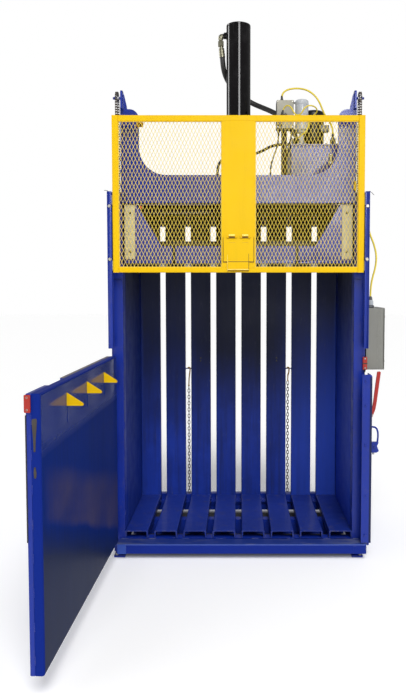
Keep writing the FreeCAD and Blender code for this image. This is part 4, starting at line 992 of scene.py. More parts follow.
# ================================================================ gate
def gate():
    G_X, Z0, Z1, Y0, Y1 = 812.0, 1885.0, 2888.0, -75.0, -45.0
    g = Piece("gate_tube_frame", "yellow_paint")
    for s in (-1, 1):
        g.hollow(min(s * 772, s * 812), max(s * 772, s * 812), Y0, Y1, Z0, Z1, 3, "z", 4)
        g.box(min(s * 775, s * 809), max(s * 775, s * 809), Y0 + 3, Y1 - 3, Z1 - 3, Z1 - 0.4, 0.8)
        g.box(min(s * 775, s * 809), max(s * 775, s * 809), Y0 + 3, Y1 - 3, Z0 + 0.4, Z0 + 3, 0.8)
        for z in (Z0 + 17, Z1 - 19):
            for yy in (Y0 - 0.4,):
                g.weld((s * 771, yy, z - 15), (s * 771, yy, z + 15), 1.7)
        g.box(s * 103, s * 108, Y0 + 3, Y1, 1919, 2850, 1.0)
        for z0 in (1898, 2320):
            g.box(s * 812, s * 839, -71, -49, z0, z0 + 64, 4, 3, mat="wear_plastic")
            g.lathe((s * 826, -71.2, z0 + 32), (0, -1, 0), [(0, 7), (1.5, 7), (2.5, 5.5), (2.5, 0)], 16, "dark_steel")
        # chain anchor: clevis and pin
        g.box(s * 784 - 12, s * 784 + 12, -45.5, -42.3, 1905, 1945, 1.0)
        g.box(s * 784 - 4, s * 784 + 4, -42.6, -30, 1912, 1938, 1.0, mat="bare_steel")
    g.hollow(-772, 772, Y0, Y1, Z1 - 38, Z1, 3, "x", 4)
    g.hollow(-772, 772, Y0, Y1, Z0, Z0 + 34, 3, "x", 4)
    # centre plate, its bent lips, and the louvre hinges of the flap
    g.box(-108, 108, Y0, Y0 + 4, 1918, 2851, 1.2)
    for s in (-1, 1):
        for z0 in range(1960, 2840, 110):
            g.weld((s * 110, -62, z0), (s * 110, -62, z0 + 22), 1.5)
    for x in (-43, 43):
        g.cyl((x - 32, -81.5, 2110), (x + 32, -81.5, 2110), 3, 16, mat="dark_steel")
        for s in (-1, 1):
            xa, xb = sorted((x + s * 20, x + s * 31))
            g.cyl((xa, -81.5, 2110), (xb, -81.5, 2110), 5, 24, bev=1)
            g.box(xa, xb, -80, -75, 2105, 2115, 1)
        # rolled lip above each hinge, over the dark slit, in a lighter yellow as a painted highlight
        g.prism([(-75.2, 2119), (-82, 2119.5), (-83, 2122), (-81.5, 2125), (-75.2, 2131)], "x", x - 20, x + 20, 0.8, mat="lip_painted_highlight")
    # painted shadow lines along the cut that the flap hangs in
    for s in (-1, 1):
        g.box(s * 97.4, s * 100.0, -75.5, -74.8, 1952, 2116, 0.1, 1, mat="gap_shadow")
        g.box(s * 71.5, s * 100.0, -75.5, -74.8, 1949.5, 1953, 0.1, 1, mat="gap_shadow")
    g.out("gate", ["gate_frame"], "yellow_paint")

    # expanded metal: flattened strands, each turned a little on its own length, meeting at the knuckles
    m = Piece("gate_expanded_mesh", "yellow_mesh")
    SWD, LWD, ST, TH = 23.4, 50.8, 2.15, 2.3
    x0, x1, z0, z1 = 108.0, 772.0, 1919.0, 2850.0
    nx, nz = int((x1 - x0 - 6) / SWD), int((z1 - z0 - 6) / LWD)
    ox, oz = (x0 + x1) / 2 - nx * SWD / 2, (z0 + z1) / 2 - nz * LWD / 2
    yc = -64.5

    def strand(a, b, tilt):
        a, b = Vector(a), Vector(b)
        d = (b - a).normalized()
        side = d.cross(Vector((0, 1, 0))).normalized()
        up = side.cross(d)
        c, s_ = math.cos(tilt), math.sin(tilt)
        p, q = side * c + up * s_, up * c - side * s_
        vs, fs = [], []
        for e in (a - d * 1.4, b + d * 1.4):
            for u_, w_ in ((-1, -1), (1, -1), (1, 1), (-1, 1)):
                vs.append(e + p * (u_ * ST / 2) + q * (w_ * TH / 2 * 0.72))
        for k in range(4):
            k2 = (k + 1) % 4
            fs.append([k, k2, 4 + k2, 4 + k])
        fs += [[3, 2, 1, 0], [4, 5, 6, 7]]
        m.add(vs, fs, None, False)

    for s in (-1, 1):
        for j in range(-1, 2 * nz + 1):
            # rows of knuckles: even rows on the cell borders, odd rows between
            za, zb = oz + j * LWD / 2, oz + (j + 1) * LWD / 2
            for i in range(-1, nx + 1):
                for t in (0, 1):
                    xa = ox + i * SWD + (SWD / 2 if j % 2 else 0)
                    xb = xa + (SWD / 2 if t else -SWD / 2)
                    a, b = [xa, za], [xb, zb]
                    # clip to the window
                    if min(a[0], b[0]) < x0 or max(a[0], b[0]) > x1 or min(a[1], b[1]) < z0 or max(a[1], b[1]) > z1:
                        ts = [0.0, 1.0]
                        dx, dz = b[0] - a[0], b[1] - a[1]
                        ok = True
                        for p_, q_ in ((-dx, a[0] - x0), (dx, x1 - a[0]), (-dz, a[1] - z0), (dz, z1 - a[1])):
                            if abs(p_) < 1e-9:
                                ok &= q_ >= 0
                                continue
                            r_ = q_ / p_
                            if p_ < 0:
                                ts[0] = max(ts[0], r_)
                            else:
                                ts[1] = min(ts[1], r_)
                        if not ok or ts[1] - ts[0] < 0.05:
                            continue
                        a, b = [a[0] + dx * ts[0], a[1] + dz * ts[0]], [a[0] + dx * ts[1], a[1] + dz * ts[1]]
                    strand((s * a[0], yc, a[1]), (s * b[0], yc, b[1]), 0.42 * s * (1 if t else -1))
        # the flat border that the sheet is welded by
        m.box(s * 108, s * 112, yc - 1.5, yc + 1.5, z0, z1)
        m.box(s * 768, s * 772, yc - 1.5, yc + 1.5, z0, z1)
        m.box(s * 112, s * 768, yc - 1.5, yc + 1.5, z0, z0 + 4)
        m.box(s * 112, s * 768, yc - 1.5, yc + 1.5, z1 - 4, z1)
    m.out("gate", ["gate_mesh"], "yellow_paint")

    f = Piece("gate_latch_flap", "yellow_paint")
    f.box(-97, 97, -79.4, -75.8, 1955, 2103, 1.2)
    f.box(-70, 65, -79.4, -75.8, 1893, 1956, 1.2)
    # painted highlight: the tongue's bent lip in a lighter yellow
    f.box(-70, 65, -93, -78, 1902, 1907, 1.2, mat="lip_painted_highlight")
    # painted shadow: dark strips under the tongue and round the flap's edges
    f.box(-70, 65, -79.9, -78, 1893.2, 1898, 0.4, mat="gap_shadow")
    f.box(-99, 99, -79.8, -75.9, 1952.4, 1956.4, 0.3, 1, mat="gap_shadow")
    for x in (-98.6, 98.6):
        f.box(x - 1.5, x + 1.5, -79.8, -76.2, 1955, 2104, 0.3, 1, mat="gap_shadow")
    f.box(64.4, 67.0, -79.8, -76.5, 1896, 2006, 0.3, 1, mat="gap_shadow")
    # painted highlight: a lighter yellow strip down the tongue's left edge
    f.box(-72.6, -70.4, -80.2, -77, 1898, 2000, 0.8, 2, mat="lip_painted_highlight")
    for x in (-43, 43):
        # painted shadow in each hinge slit
        f.cyl((x - 19, -81.5, 2110), (x + 19, -81.5, 2110), 4.2, 20, mat="gap_shadow")
        f.prism([(-79, 2104), (-82.2, 2103), (-82.6, 2100), (-80.6, 2096), (-79, 2082)], "x", x - 19, x + 19, 0.8)
        # painted shade: a darker yellow crease line below each hinge
        f.box(x - 21, x + 21, -79.9, -79, 2076, 2078, 0.3, 1, mat="flap_crease")
    f.out("flap", ["gate_flap"], "yellow_paint")


MATS["yellow_mesh"] = paint("yellow_mesh_paint", (0.90, 0.68, 0.11), rough=0.5, coat=0.0, spec=0.12, dark=0.85, streak=0.05, dirt=0.20,
                            wear=0.0, dirt_col=(0.20, 0.13, 0.02), waves=0.0)
MATS["lip_painted_highlight"] = paint("yellow_lip_painted_highlight", (1.0, 0.78, 0.16), rough=0.3, coat=0.2, dark=0.95, streak=0.05, dirt=0.02, wear=0.2,
                           waves=0.0)
MATS["gap_shadow"] = soft_plastic("gap_painted_shadow", (0.16, 0.075, 0.004), 0.7, 120, 0.1)
MATS["flap_crease"] = soft_plastic("flap_crease_painted_shade", (0.60, 0.36, 0.010), 0.6, 120, 0.1)
gate()


# ================================================================ chains
def roller_chain(pc, path, pitch=15.875, w_in=10.6, w_out=16.8, plate=1.7, rollers=True, height=12.4, across=(1, 0, 0)):
    """Roller chain along a polyline of pitch points; across is the pin direction."""
    ax = Vector(across).normalized()
    for i in range(len(path) - 1):
        a, b = Vector(path[i]), Vector(path[i + 1])
        d = (b - a).normalized()
        up = ax.cross(d).normalized()
        off = (w_in / 2 - plate / 2) if i % 2 else (w_out / 2 - plate / 2 - 0.4)
        r = height / 2
        outl = []
        for c, s0 in ((b, -90), (a, 90)):
            for k in range(5):
                g = math.radians(s0 + 180 * k / 4)
                outl.append(c + d * (r * math.cos(g)) + up * (r * math.sin(g)))
        mid = (a + b) / 2
        outl.insert(5, mid + up * r * 0.66)
        outl.append(mid - up * r * 0.66)
        n = len(outl)
        for s in (-1, 1):
            o1 = [v + ax * (s * (off - plate / 2)) for v in outl]
            o2 = [v + ax * (s * (off + plate / 2)) for v in outl]
            fs = [[k, (k + 1) % n, n + (k + 1) % n, n + k] for k in range(n)]
            fs += [list(range(n))[::-1], [n + k for k in range(n)]]
            pc.add(o1 + o2, fs, None, False)
        if rollers:
            pc.cyl(a - ax * (w_out / 2), a + ax * (w_out / 2), 2.6, 8)
            pc.cyl(a - ax * (w_in / 2 - plate), a + ax * (w_in / 2 - plate), 5.0, 10)


PITCH, CX, SR = 15.875, 786.5, 15.875 / (2 * math.sin(math.pi / 14))


def chains():
    for side, s in (("left", -1), ("right", 1)):
        x = s * CX
        fr = Piece("chain_front_" + side, "chain_steel")
        n = int((3012 - 1915) / PITCH)
        z0 = 3012 - n * PITCH
        roller_chain(fr, [(x, -SR, 3012 - i * PITCH) for i in range(n + 1)])
        o = fr.out(None, (), "chain_steel")
        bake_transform(o)
        rr = Piece("chain_rear_" + side, "chain_steel")
        n = int((3012 - 1178) / PITCH)
        roller_chain(rr, [(x, SR, 3012 - i * PITCH) for i in range(n + 1)])
        o = rr.out(None, ["gate_chain_rear_" + side], "chain_steel")
        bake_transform(o)
    wr = Piece("chain_wraps", "chain_steel")
    for s in (-1, 1):
        roller_chain(wr, [(s * CX, -SR * math.cos(math.pi * k / 7), 3012 + SR * math.sin(math.pi * k / 7)) for k in range(8)])
    wr.out("machine", ["gate_chain_wraps", "gate_chain_front"], "chain_steel")


chains()
# ================================================================ power unit
def gloss_black():
    """Barrel enamel: nearly black, smooth enough to carry a clear line of light."""
    m = Mat("barrel_black_enamel", (0.0040, 0.0034, 0.0040), rough=0.08, coat=0.0, spec=0.24)
    m.mix_color(m.math("MULTIPLY", m.ramp(m.noise(9, 6, 0.65), 0.50, 0.78), 0.35), (0.030, 0.028, 0.030))
    drip = m.ramp(m.noise(20, 6, 0.6, stretch=(3, 3, 0.2)), 0.60, 0.74)
    m.mix_color(m.math("MULTIPLY", drip, 0.3), (0.045, 0.042, 0.045))
    m.mix_rough(m.math("MULTIPLY", m.ramp(m.noise(16, 6, 0.7), 0.52, 0.72), 0.35), 0.34)
    w = m.math("MULTIPLY", edge_wear(m), 0.6)
    m.mix_color(w, [0.14, 0.13, 0.125])
    m.bump(m.noise(3.5, 3, 0.5, stretch=(1, 1, 0.5)), 0.06, 0.008)
    m.bump(m.noise(300, 2, 0.5), 0.02, 0.0004)
    return m.done()


MATS["barrel_black"] = gloss_black()
MATS["motor_black"] = paint("motor_black_paint", (0.0080, 0.0080, 0.0090), rough=0.36, coat=0.1, dark=0.7, streak=0.2, dirt=0.25,
                            wear=0.4, wear_col=[0.14, 0.13, 0.12], waves=0.03)
MATS["pale_enclosure"] = paint("pale_enclosure_paint", srgb("a9a698"), rough=0.5, coat=0.0, dark=0.80, streak=0.22, dirt=0.30,
                               wear=0.3, wear_col=[0.5, 0.5, 0.48], waves=0.02)
MATS["gauge_pale"] = soft_plastic("gauge_pale_plastic", srgb("d9d0b0"), 0.35, 200, 0.08)
MATS["green_button"] = soft_plastic("start_button_plastic", srgb("1d7a3c"), 0.35, 200, 0.06)
MATS["red_button"] = soft_plastic("stop_button_plastic", srgb("b81f18"), 0.32, 200, 0.06)
MATS["solenoid_plastic"] = soft_plastic("solenoid_coil_plastic", (0.020, 0.020, 0.022), 0.5, 260, 0.2)


def head_paint():
    """Head beams: dusty blue above and behind, and nearly black with painted shade where they face the chamber."""
    m = Mat("blue_head_paint", BLUE, rough=0.42, coat=0.0, spec=0.3)
    m.mix_color(m.math("MULTIPLY", m.ramp(m.noise(2.6, 3, 0.5), 0.35, 0.75), 0.45), [c * 0.66 for c in BLUE])
    dust = m.ramp(m.noise(7.0, 7, 0.65), 0.50, 0.76)
    m.mix_color(m.math("MULTIPLY", dust, 0.30), (0.030, 0.036, 0.075))
    # painted shade: nearly black below the top face and in front of the rear face
    low = m.math("MULTIPLY", m.ramp(m.axis(2), 2.4135, 2.4115), m.ramp(m.axis(1), 0.4072, 0.4060))
    m.mix_color(m.math("MULTIPLY", low, 0.95), (0.0060, 0.0095, 0.036))
    m.mix_rough(m.math("MULTIPLY", dust, 0.6), 0.65)
    m.mix_color(m.math("MULTIPLY", edge_wear(m), 0.4), [0.12, 0.115, 0.11])
    m.bump(m.noise(420, 2, 0.5), 0.10, 0.0004)
    m.bump(m.noise(3.0, 2, 0.4), 0.10, 0.010)
    return m.done()


MATS["head_blue_with_painted_shade"] = head_paint()


def platen_paint():
    """Platen: blue outside, and nearly black behind the front plate."""
    m = Mat("blue_platen_paint", BLUE, rough=0.34, coat=0.15)
    m.mix_color(m.math("MULTIPLY", m.ramp(m.noise(2.2, 3, 0.5), 0.35, 0.75), 0.5), [c * 0.7 for c in BLUE])
    scr = m.ramp(m.noise(34, 8, 0.75, stretch=(1.5, 1.5, 0.5)), 0.58, 0.70)
    m.mix_color(m.math("MULTIPLY", scr, 0.25), (0.09, 0.095, 0.12))
    m.mix_rough(m.math("MULTIPLY", m.ramp(m.noise(9, 6, 0.6), 0.4, 0.8), 0.5), 0.55)
    w = m.math("MULTIPLY", edge_wear(m), 0.6)
    m.mix_color(w, [0.20, 0.19, 0.18])
    deep = m.ramp(m.axis(1), -0.3745, -0.3700)
    m.mix_color(m.math("MULTIPLY", deep, 0.97), (0.0030, 0.0028, 0.0034))
    m.bump(m.noise(420, 2, 0.5), 0.10, 0.0004)
    m.bump(m.noise(3.0, 2, 0.4), 0.10, 0.012)
    return m.done()


MATS["blue_platen"] = platen_paint()
MATS["brown_bracket"] = paint("brown_primer_bracket", (0.045, 0.026, 0.012), rough=0.5, coat=0.0, dark=0.6, streak=0.3, dirt=0.4,
                              dirt_col=(0.012, 0.008, 0.006), wear=0.4, wear_col=[0.16, 0.14, 0.12], waves=0.04)
MATS["hose_fitting"] = plain_metal("yellow_plated_fitting", (0.250, 0.238, 0.170), 0.34, grime=0.55, dark=(0.045, 0.040, 0.026), metal=0.85)


def tank_paint():
    """Oil tank: blue, with a pale dusty smear at the left of its front."""
    m = Mat("blue_tank_paint", BLUE, rough=0.36, coat=0.1)
    m.mix_color(m.math("MULTIPLY", m.ramp(m.noise(3.2, 3, 0.5), 0.35, 0.75), 0.4), [c * 0.7 for c in BLUE])
    cloud = m.math("MULTIPLY", m.ramp(m.noise(5.0, 5, 0.6, stretch=(1.6, 1.6, 0.6)), 0.22, 0.62), m.ramp(m.axis(0), 0.490, 0.385))
    cloud = m.math("MULTIPLY", cloud, m.math("MULTIPLY", m.ramp(m.axis(1), -0.2000, -0.2060), m.ramp(m.axis(0), 0.357, 0.366)))
    m.mix_color(m.math("MULTIPLY", cloud, 0.68), (0.220, 0.250, 0.400))
    m.mix_rough(cloud, 0.6)
    m.mix_color(m.math("MULTIPLY", edge_wear(m), 0.6), [0.20, 0.19, 0.18])
    m.bump(m.noise(420, 2, 0.5), 0.10, 0.0004)
    m.bump(m.noise(3.0, 2, 0.4), 0.08, 0.010)
    return m.done()


MATS["blue_tank"] = tank_paint()
LZ = 2759.0


def ring_of(n, r, cx, cy, start=0.0):
    return [(cx + r * math.cos(math.radians(start) + 2 * math.pi * k / n), cy + r * math.sin(math.radians(start) + 2 * math.pi * k / n))
            for k in range(n)]


def cylinder_details():
    c = Piece("cylinder_trim", "barrel_black")
    for x, y in ring_of(8, 104, 0, 407.5, 22.5):
        c.hexhead((x, y, 2528), (0, 0, 1), 24, 14, "plated_fittings")
        c.cyl((x, y, 2486), (x, y, 2500), 13, 6, mat="plated_fittings")
    # weld rings: barrel to flange, and the two port bosses
    for k in range(36):
        a0, a1 = math.radians(10 * k), math.radians(10 * k + 8.5)
        c.weld((86 * math.cos(a0), 407.5 + 86 * math.sin(a0), 2529), (86 * math.cos(a1), 407.5 + 86 * math.sin(a1), 2529), 4.2, step=7)
    for z, r in ((3552, 22), (2548, 17)):
        c.lathe((-80, 407.5, z), (-1, 0, 0), [(0, r + 5), (6, r + 2.5), (10, r), (21, r), (22, r - 1.5), (22, r - 5)], 40)
    # end cap: retaining groove, slight dish and two lifting holes
    c.lathe((0, 407.5, 3622), (0, 0, 1), [(0.2, 80.3), (-0.6, 79), (-1.5, 72), (-1.5, 40), (0.2, 36), (0.2, 0)], 64)
    c.lathe((0, 407.5, 3603.2), (0, 0, 1), [(0, 82.4), (0, 85.2), (0.8, 85.2), (0.8, 82.4)], 72, close=True)
    for a in (40, 220):
        x, y = 55 * math.cos(math.radians(a)), 407.5 + 55 * math.sin(math.radians(a))
        c.lathe((x, y, 3620.4), (0, 0, 1), [(0, 8), (1.2, 7.4), (1.2, 5), (0.3, 4.4), (0.3, 0)], 24, "dark_steel")
    c.out("machine", (), "black_paint")
    g = Piece("cylinder_gland_ring", "motor_black")
    g.lathe((0, 407.5, 2445), (0, 0, -1), [(0, 84.5), (2, 86), (20, 86), (22, 84), (24, 84), (26, 86), (41, 86), (45, 82), (45, 58),
                                           (43, 55), (45, 52.5), (40, 50.4), (0, 50.4)], 72, close=True)
    for x, y in ring_of(6, 68, 0, 407.5):
        g.lathe((x, y, 2400.4), (0, 0, -1), [(0, 6), (2.4, 5.6), (2.4, 3.4), (0.6, 3.0), (0.6, 0)], 18, "dark_steel")
    g.out("machine", ["cylinder_gland"], "black_paint")


def motor():
    m = Piece("pump_motor", "motor_black")
    X, Y = 524.0, 345.0
    # bell housing with its bolted foot flange
    m.lathe((X, Y, LZ), (0, 0, 1), [(0, 0), (0, 84.5), (1.5, 86), (10.5, 86), (12, 84.5), (12, 68), (20, 64), (28, 64), (34, 69), (44, 71),
                                    (46, 70), (46, 0)], 72)
    for x, y in ring_of(8, 78, X, Y, 15):
        m.hexhead((x, y, LZ + 12), (0, 0, 1), 13, 7, "plated_fittings")
    # finned shell
    prof = []
    nf = 38
    for k in range(nf):
        a = 2 * math.pi * k / nf
        for da, r in ((-0.30, 63.5), (-0.15, 64.5), (-0.10, 71.2), (0.10, 71.2), (0.15, 64.5), (0.30, 63.5)):
            g = a + da * 2 * math.pi / nf
            prof.append((X + r * math.cos(g), Y + r * math.sin(g)))
    m.prism(prof, "z", LZ + 46, LZ + 202)
    m.lathe((X, Y, LZ + 200), (0, 0, 1), [(0, 0), (0, 69), (2, 71), (12, 71), (14, 69), (14, 0)], 64)
    for x, y in ring_of(4, 67, X, Y, 45):
        m.hexhead((x, y, LZ + 213), (0, 0, 1), 8, 4, "plated_fittings")
    # fan cowl: domed shoulder, and a slotted grille on top
    m.lathe((X, Y, LZ + 206), (0, 0, 1), [(0, 72.5), (0.5, 74), (24, 74), (30, 73), (36, 70), (41, 65.5), (45, 59.5), (47.5, 53), (49, 46),
                                          (48, 44), (45, 46), (40, 58), (30, 69), (0, 70.5)], 72, close=True)
    for r in (9, 18, 27, 36, 45):
        m.lathe((X, Y, LZ + 251), (0, 0, 1), [(0, r - 1.4), (2.2, r - 1.4), (2.2, r + 1.4), (0, r + 1.4)], 48, close=True)
    for k in range(6):
        a = math.pi / 3 * k
        m.sweep([(X, Y, LZ + 251), (X + 47 * math.cos(a), Y + 47 * math.sin(a), LZ + 251)], 2.0, 8)
    m.lathe((X, Y, LZ + 236), (0, 0, 1), [(0, 50), (2, 50), (2, 0)], 40, "black_plastic")
    # terminal box on the shell, with its screwed lid
    m.box(566, 624, 288, 340, LZ + 105, LZ + 147, 4, 3)
    m.box(564, 626, 285, 290.5, LZ + 103.4, LZ + 148.6, 2.4, 3)
    for x in (570, 620):
        for z in (LZ + 109, LZ + 143):
            m.lathe((x, 285.4, z), (0, -1, 0), [(0, 3.6), (0.2, 3.6), (0.4, 2.4), (0.4, 0)], 16, "plated_fittings")
    # pump and suction pipe inside the tank
    m.lathe((X, Y, LZ - 158), (0, 0, 1), [(0, 0), (0, 58), (4, 61.8), (90, 61.8), (96, 54), (150, 54), (150, 0)], 48)
    m.lathe((X, Y + 30, LZ - 218), (0, 0, 1), [(0, 0), (0, 20), (12, 20), (12, 18), (60, 18), (60, 0)], 28, "bare_steel")
    m.out("machine", ["motor"], "black_paint")

    f = Piece("return_filter_can", "filter_paint")
    FX, FY = 432, 240
    f.lathe((FX, FY, LZ), (0, 0, 1), [(0, 0), (0, 37), (1.5, 38), (10.5, 38), (12, 36.5), (12, 20), (16, 16), (80, 16), (85, 20), (85, 33),
                                      (86.5, 34), (99, 34), (101, 36), (102, 43), (105, 45), (262, 45), (266, 44.2), (268, 43.4),
                                      (270, 43.4), (271.5, 44.6), (274, 45.6), (290, 45.6), (296, 44.4), (301, 41), (304.5, 35),
                                      (306, 26), (306, 0)], 72)
    for x, y in ring_of(4, 30, FX, FY, 45):
        f.hexhead((x, y, LZ + 12), (0, 0, 1), 10, 5, "plated_fittings")
    for k in range(12):
        a = 2 * math.pi * k / 12
        f.box(-2.2, 2.2, 44.4, 45.9, LZ + 276, LZ + 290, 0.7, 1,
              xf=Matrix.Translation((FX, FY, 0)) @ Matrix.Rotation(a, 4, "Z"))
    f.lathe((FX, FY, LZ + 150), (0, 0, 1), [(0, 45.05), (0.6, 45.4), (40, 45.4), (40.6, 45.05)], 72, "pale_band")
    # pressure switch on the filter head
    f.cyl((FX - 30, FY - 6, LZ + 93), (FX - 48, FY - 8, LZ + 93), 8, 24, mat="dark_steel", bev=1)
    f.hexhead((FX - 30, FY - 6, LZ + 93), (-1, -0.1, 0), 15, 6, "plated_fittings", washer=False)
    f.out("machine", ["return_filter"], "filter_paint")


MATS["pale_band"] = paint("pale_label_band", srgb("d9dadd"), rough=0.45, coat=0.05, dark=0.92, streak=0.05, dirt=0.1, wear=0.1, waves=0.0)


def valve():
    v = Piece("valve_manifold", "bare_steel")
    v.box(372, 452, 400, 520, LZ, LZ + 78, 2.5, 3)
    for y in (426, 460, 494):
        v.lathe((452, y, LZ + 24), (1, 0, 0), [(0, 11), (1.5, 11), (1.5, 9.5), (0, 9.5)], 30, "dark_steel")
        v.hexhead((452.4, y, LZ + 24), (1, 0, 0), 15, 5, "plated_fittings", washer=False)
    v.hexhead((412, 500, LZ + 78), (0, 0, 1), 22, 12, "plated_fittings")
    v.lathe((412, 500, LZ + 90), (0, 0, 1), [(0, 8), (10, 8), (12, 6), (12, 0)], 24, "plated_fittings")
    for x in (380, 444):
        for y in (408, 512):
            v.lathe((x, y, LZ + 78), (0, 0, 1), [(0, 6.5), (5, 6.5), (6, 5.6), (6, 3.4), (2, 3.2), (2, 0)], 22, "dark_steel")
    # two solenoids, their armature tubes and plug connectors
    for y0, y1, s in ((520, 582, 1), (400, 342, -1)):
        a, b = (y0, y1) if s > 0 else (y1, y0)
        v.box(380, 420, a + 3, b - 3, LZ + 22, LZ + 62, 3, 3, mat="solenoid_plastic")
        v.cyl((400, y0 - s * 1, LZ + 42), (400, y0 + s * 8, LZ + 42), 16, 32, mat="plated_fittings", bev=0.8)
        v.cyl((400, y1 - s * 6, LZ + 42), (400, y1, LZ + 42), 9, 28, mat="plated_fittings", bev=0.8)
        v.box(388, 412, min(y0 + s * 18, y0 + s * 44), max(y0 + s * 18, y0 + s * 44), LZ + 60, LZ + 76, 2, 2, mat="solenoid_plastic")
        v.lathe((400, y0 + s * 31, LZ + 76), (0, 0, 1), [(0, 4), (2, 3.6), (2, 0)], 14, "plated_fittings")
    v.out("machine", ["valve_block"], "bare_steel")


def starter():
    s = Piece("starter_enclosure", "pale_enclosure")
    s.box(264, 378, 270, 362, 2881, 3071, 4, 3)
    s.box(263, 379, 262, 271, 2880, 3072, 3, 3)
    s.box(263.4, 378.6, 270.5, 272.5, 2880.4, 3071.6, 0.4, 1, mat="black_plastic")
    for x in (272, 370):
        for z in (2890, 3062):
            s.lathe((x, 262, z), (0, -1, 0), [(0, 5), (1.2, 4.8), (1.6, 3.0), (0.6, 2.6), (0.6, 0)], 18, "plated_fittings")
    # painted shade: a black strip over the box's left side; and the reset button
    s.box(261.4, 264, 268, 356, 2884, 3068, 0.8, 2, mat="black_plastic")
    s.lathe((321, 262, 2966), (0, -1, 0), [(0, 15), (3, 14.5), (4, 12), (4, 11)], 32, "black_plastic")
    s.lathe((321, 258, 2966), (0, -1, 0), [(0, 10.5), (5, 10), (6.5, 8), (6.5, 0)], 28, "dark_steel")
    s.cyl((378, 275, 3054), (392, 275, 3054), 5, 20, mat="dark_steel", bev=1)
    s.hexhead((378.6, 275, 3054), (1, 0, 0), 13, 4, "dark_steel", washer=False)
    # bracket: folded strip with a foot, bolted down
    s.box(300, 340, 362, 367, 2483, 3050, 1.2, 2, mat="brown_bracket")
    s.box(300, 340, 367, 402, 2483, 2488, 1.2, 2, mat="brown_bracket")
    s.weld((301, 368.5, 2489.5), (339, 368.5, 2489.5), 2.4, mat="brown_bracket")
    for x in (309, 331):
        s.hexhead((x, 386, 2488), (0, 0, 1), 10, 6, "plated_fittings")
    s.out("machine", ["starter_box"], "grey_enclosure")

    t = Piece("tank_trim", "blue_paint")
    for x in (366, 440, 517, 594, 669):
        for y in (199, 780):
            t.hexhead((x, y, LZ), (0, 0, 1), 10, 5, "plated_fittings")
    for y in (290, 490, 590, 690):
        for x in (359, 676):
            t.hexhead((x, y, LZ), (0, 0, 1), 10, 5, "plated_fittings")
    for z0 in range(2490, 2740, 60):
        for x in (358.5, 676.5):
            t.weld((x, 200, z0), (x, 200, z0 + 36), 2.4)
    for x0 in range(372, 660, 70):
        t.weld((x0, 199, 2484.5), (x0 + 40, 199, 2484.5), 2.6)
    t.lathe((400, 199.6, 2515), (0, -1, 0), [(0, 15), (4, 15), (4, 13)], 32)
    t.hexhead((400, 195.8, 2515), (0, -1, 0), 19, 7, "plated_fittings", washer=False)
    t.out("machine", (), "blue_paint")

    g = Piece("oil_gauge_and_filler", "black_plastic")
    g.box(614, 638, 190.4, 200, 2627, 2694, 3, 3)
    g.box(619, 633, 189.8, 192, 2637, 2684, 1.2, 2, mat="gauge_pale")
    g.cyl((626, 189.4, 2640), (626, 189.4, 2681), 4.2, 20, mat="gauge_pale")
    for z in (2632.5, 2688.5):
        g.hexhead((626, 190.6, z), (0, -1, 0), 9, 3, "plated_fittings", washer=False)
    g.lathe((610, 660, LZ), (0, 0, 1), [(0, 0), (0, 34), (3, 34), (4, 30), (27, 30), (28, 34), (30, 36.5), (44, 36.5), (47, 33), (48, 28),
                                        (48, 0)], 48)
    for k in range(24):
        a = 2 * math.pi * k / 24
        g.box(-1.6, 1.6, 35.6, 37.4, LZ + 30, LZ + 43, 0.7, 1, xf=Matrix.Translation((610, 660, 0)) @ Matrix.Rotation(a, 4, "Z"))
    g.out("machine", ["tank_fittings"], "black_paint")


def crimp(p, a, d, pos, L, mat="plated_fittings"):
    """Crimped hose ferrule with its swivel nut; pos runs back along the hose from the fitting."""
    p.lathe(pos, a, [(0, d / 2 + 0.2), (1, d / 2 + 2.2), (L * 0.30, d / 2 + 2.4), (L * 0.32, d / 2 + 0.9), (L * 0.36, d / 2 + 0.9),
                     (L * 0.38, d / 2 + 2.4), (L * 0.62, d / 2 + 2.4), (L * 0.64, d / 2 + 0.9), (L * 0.68, d / 2 + 0.9), (L * 0.70, d / 2 + 2.4),
                     (L * 0.94, d / 2 + 2.2), (L, d / 2 - 1.5)], 36, mat)


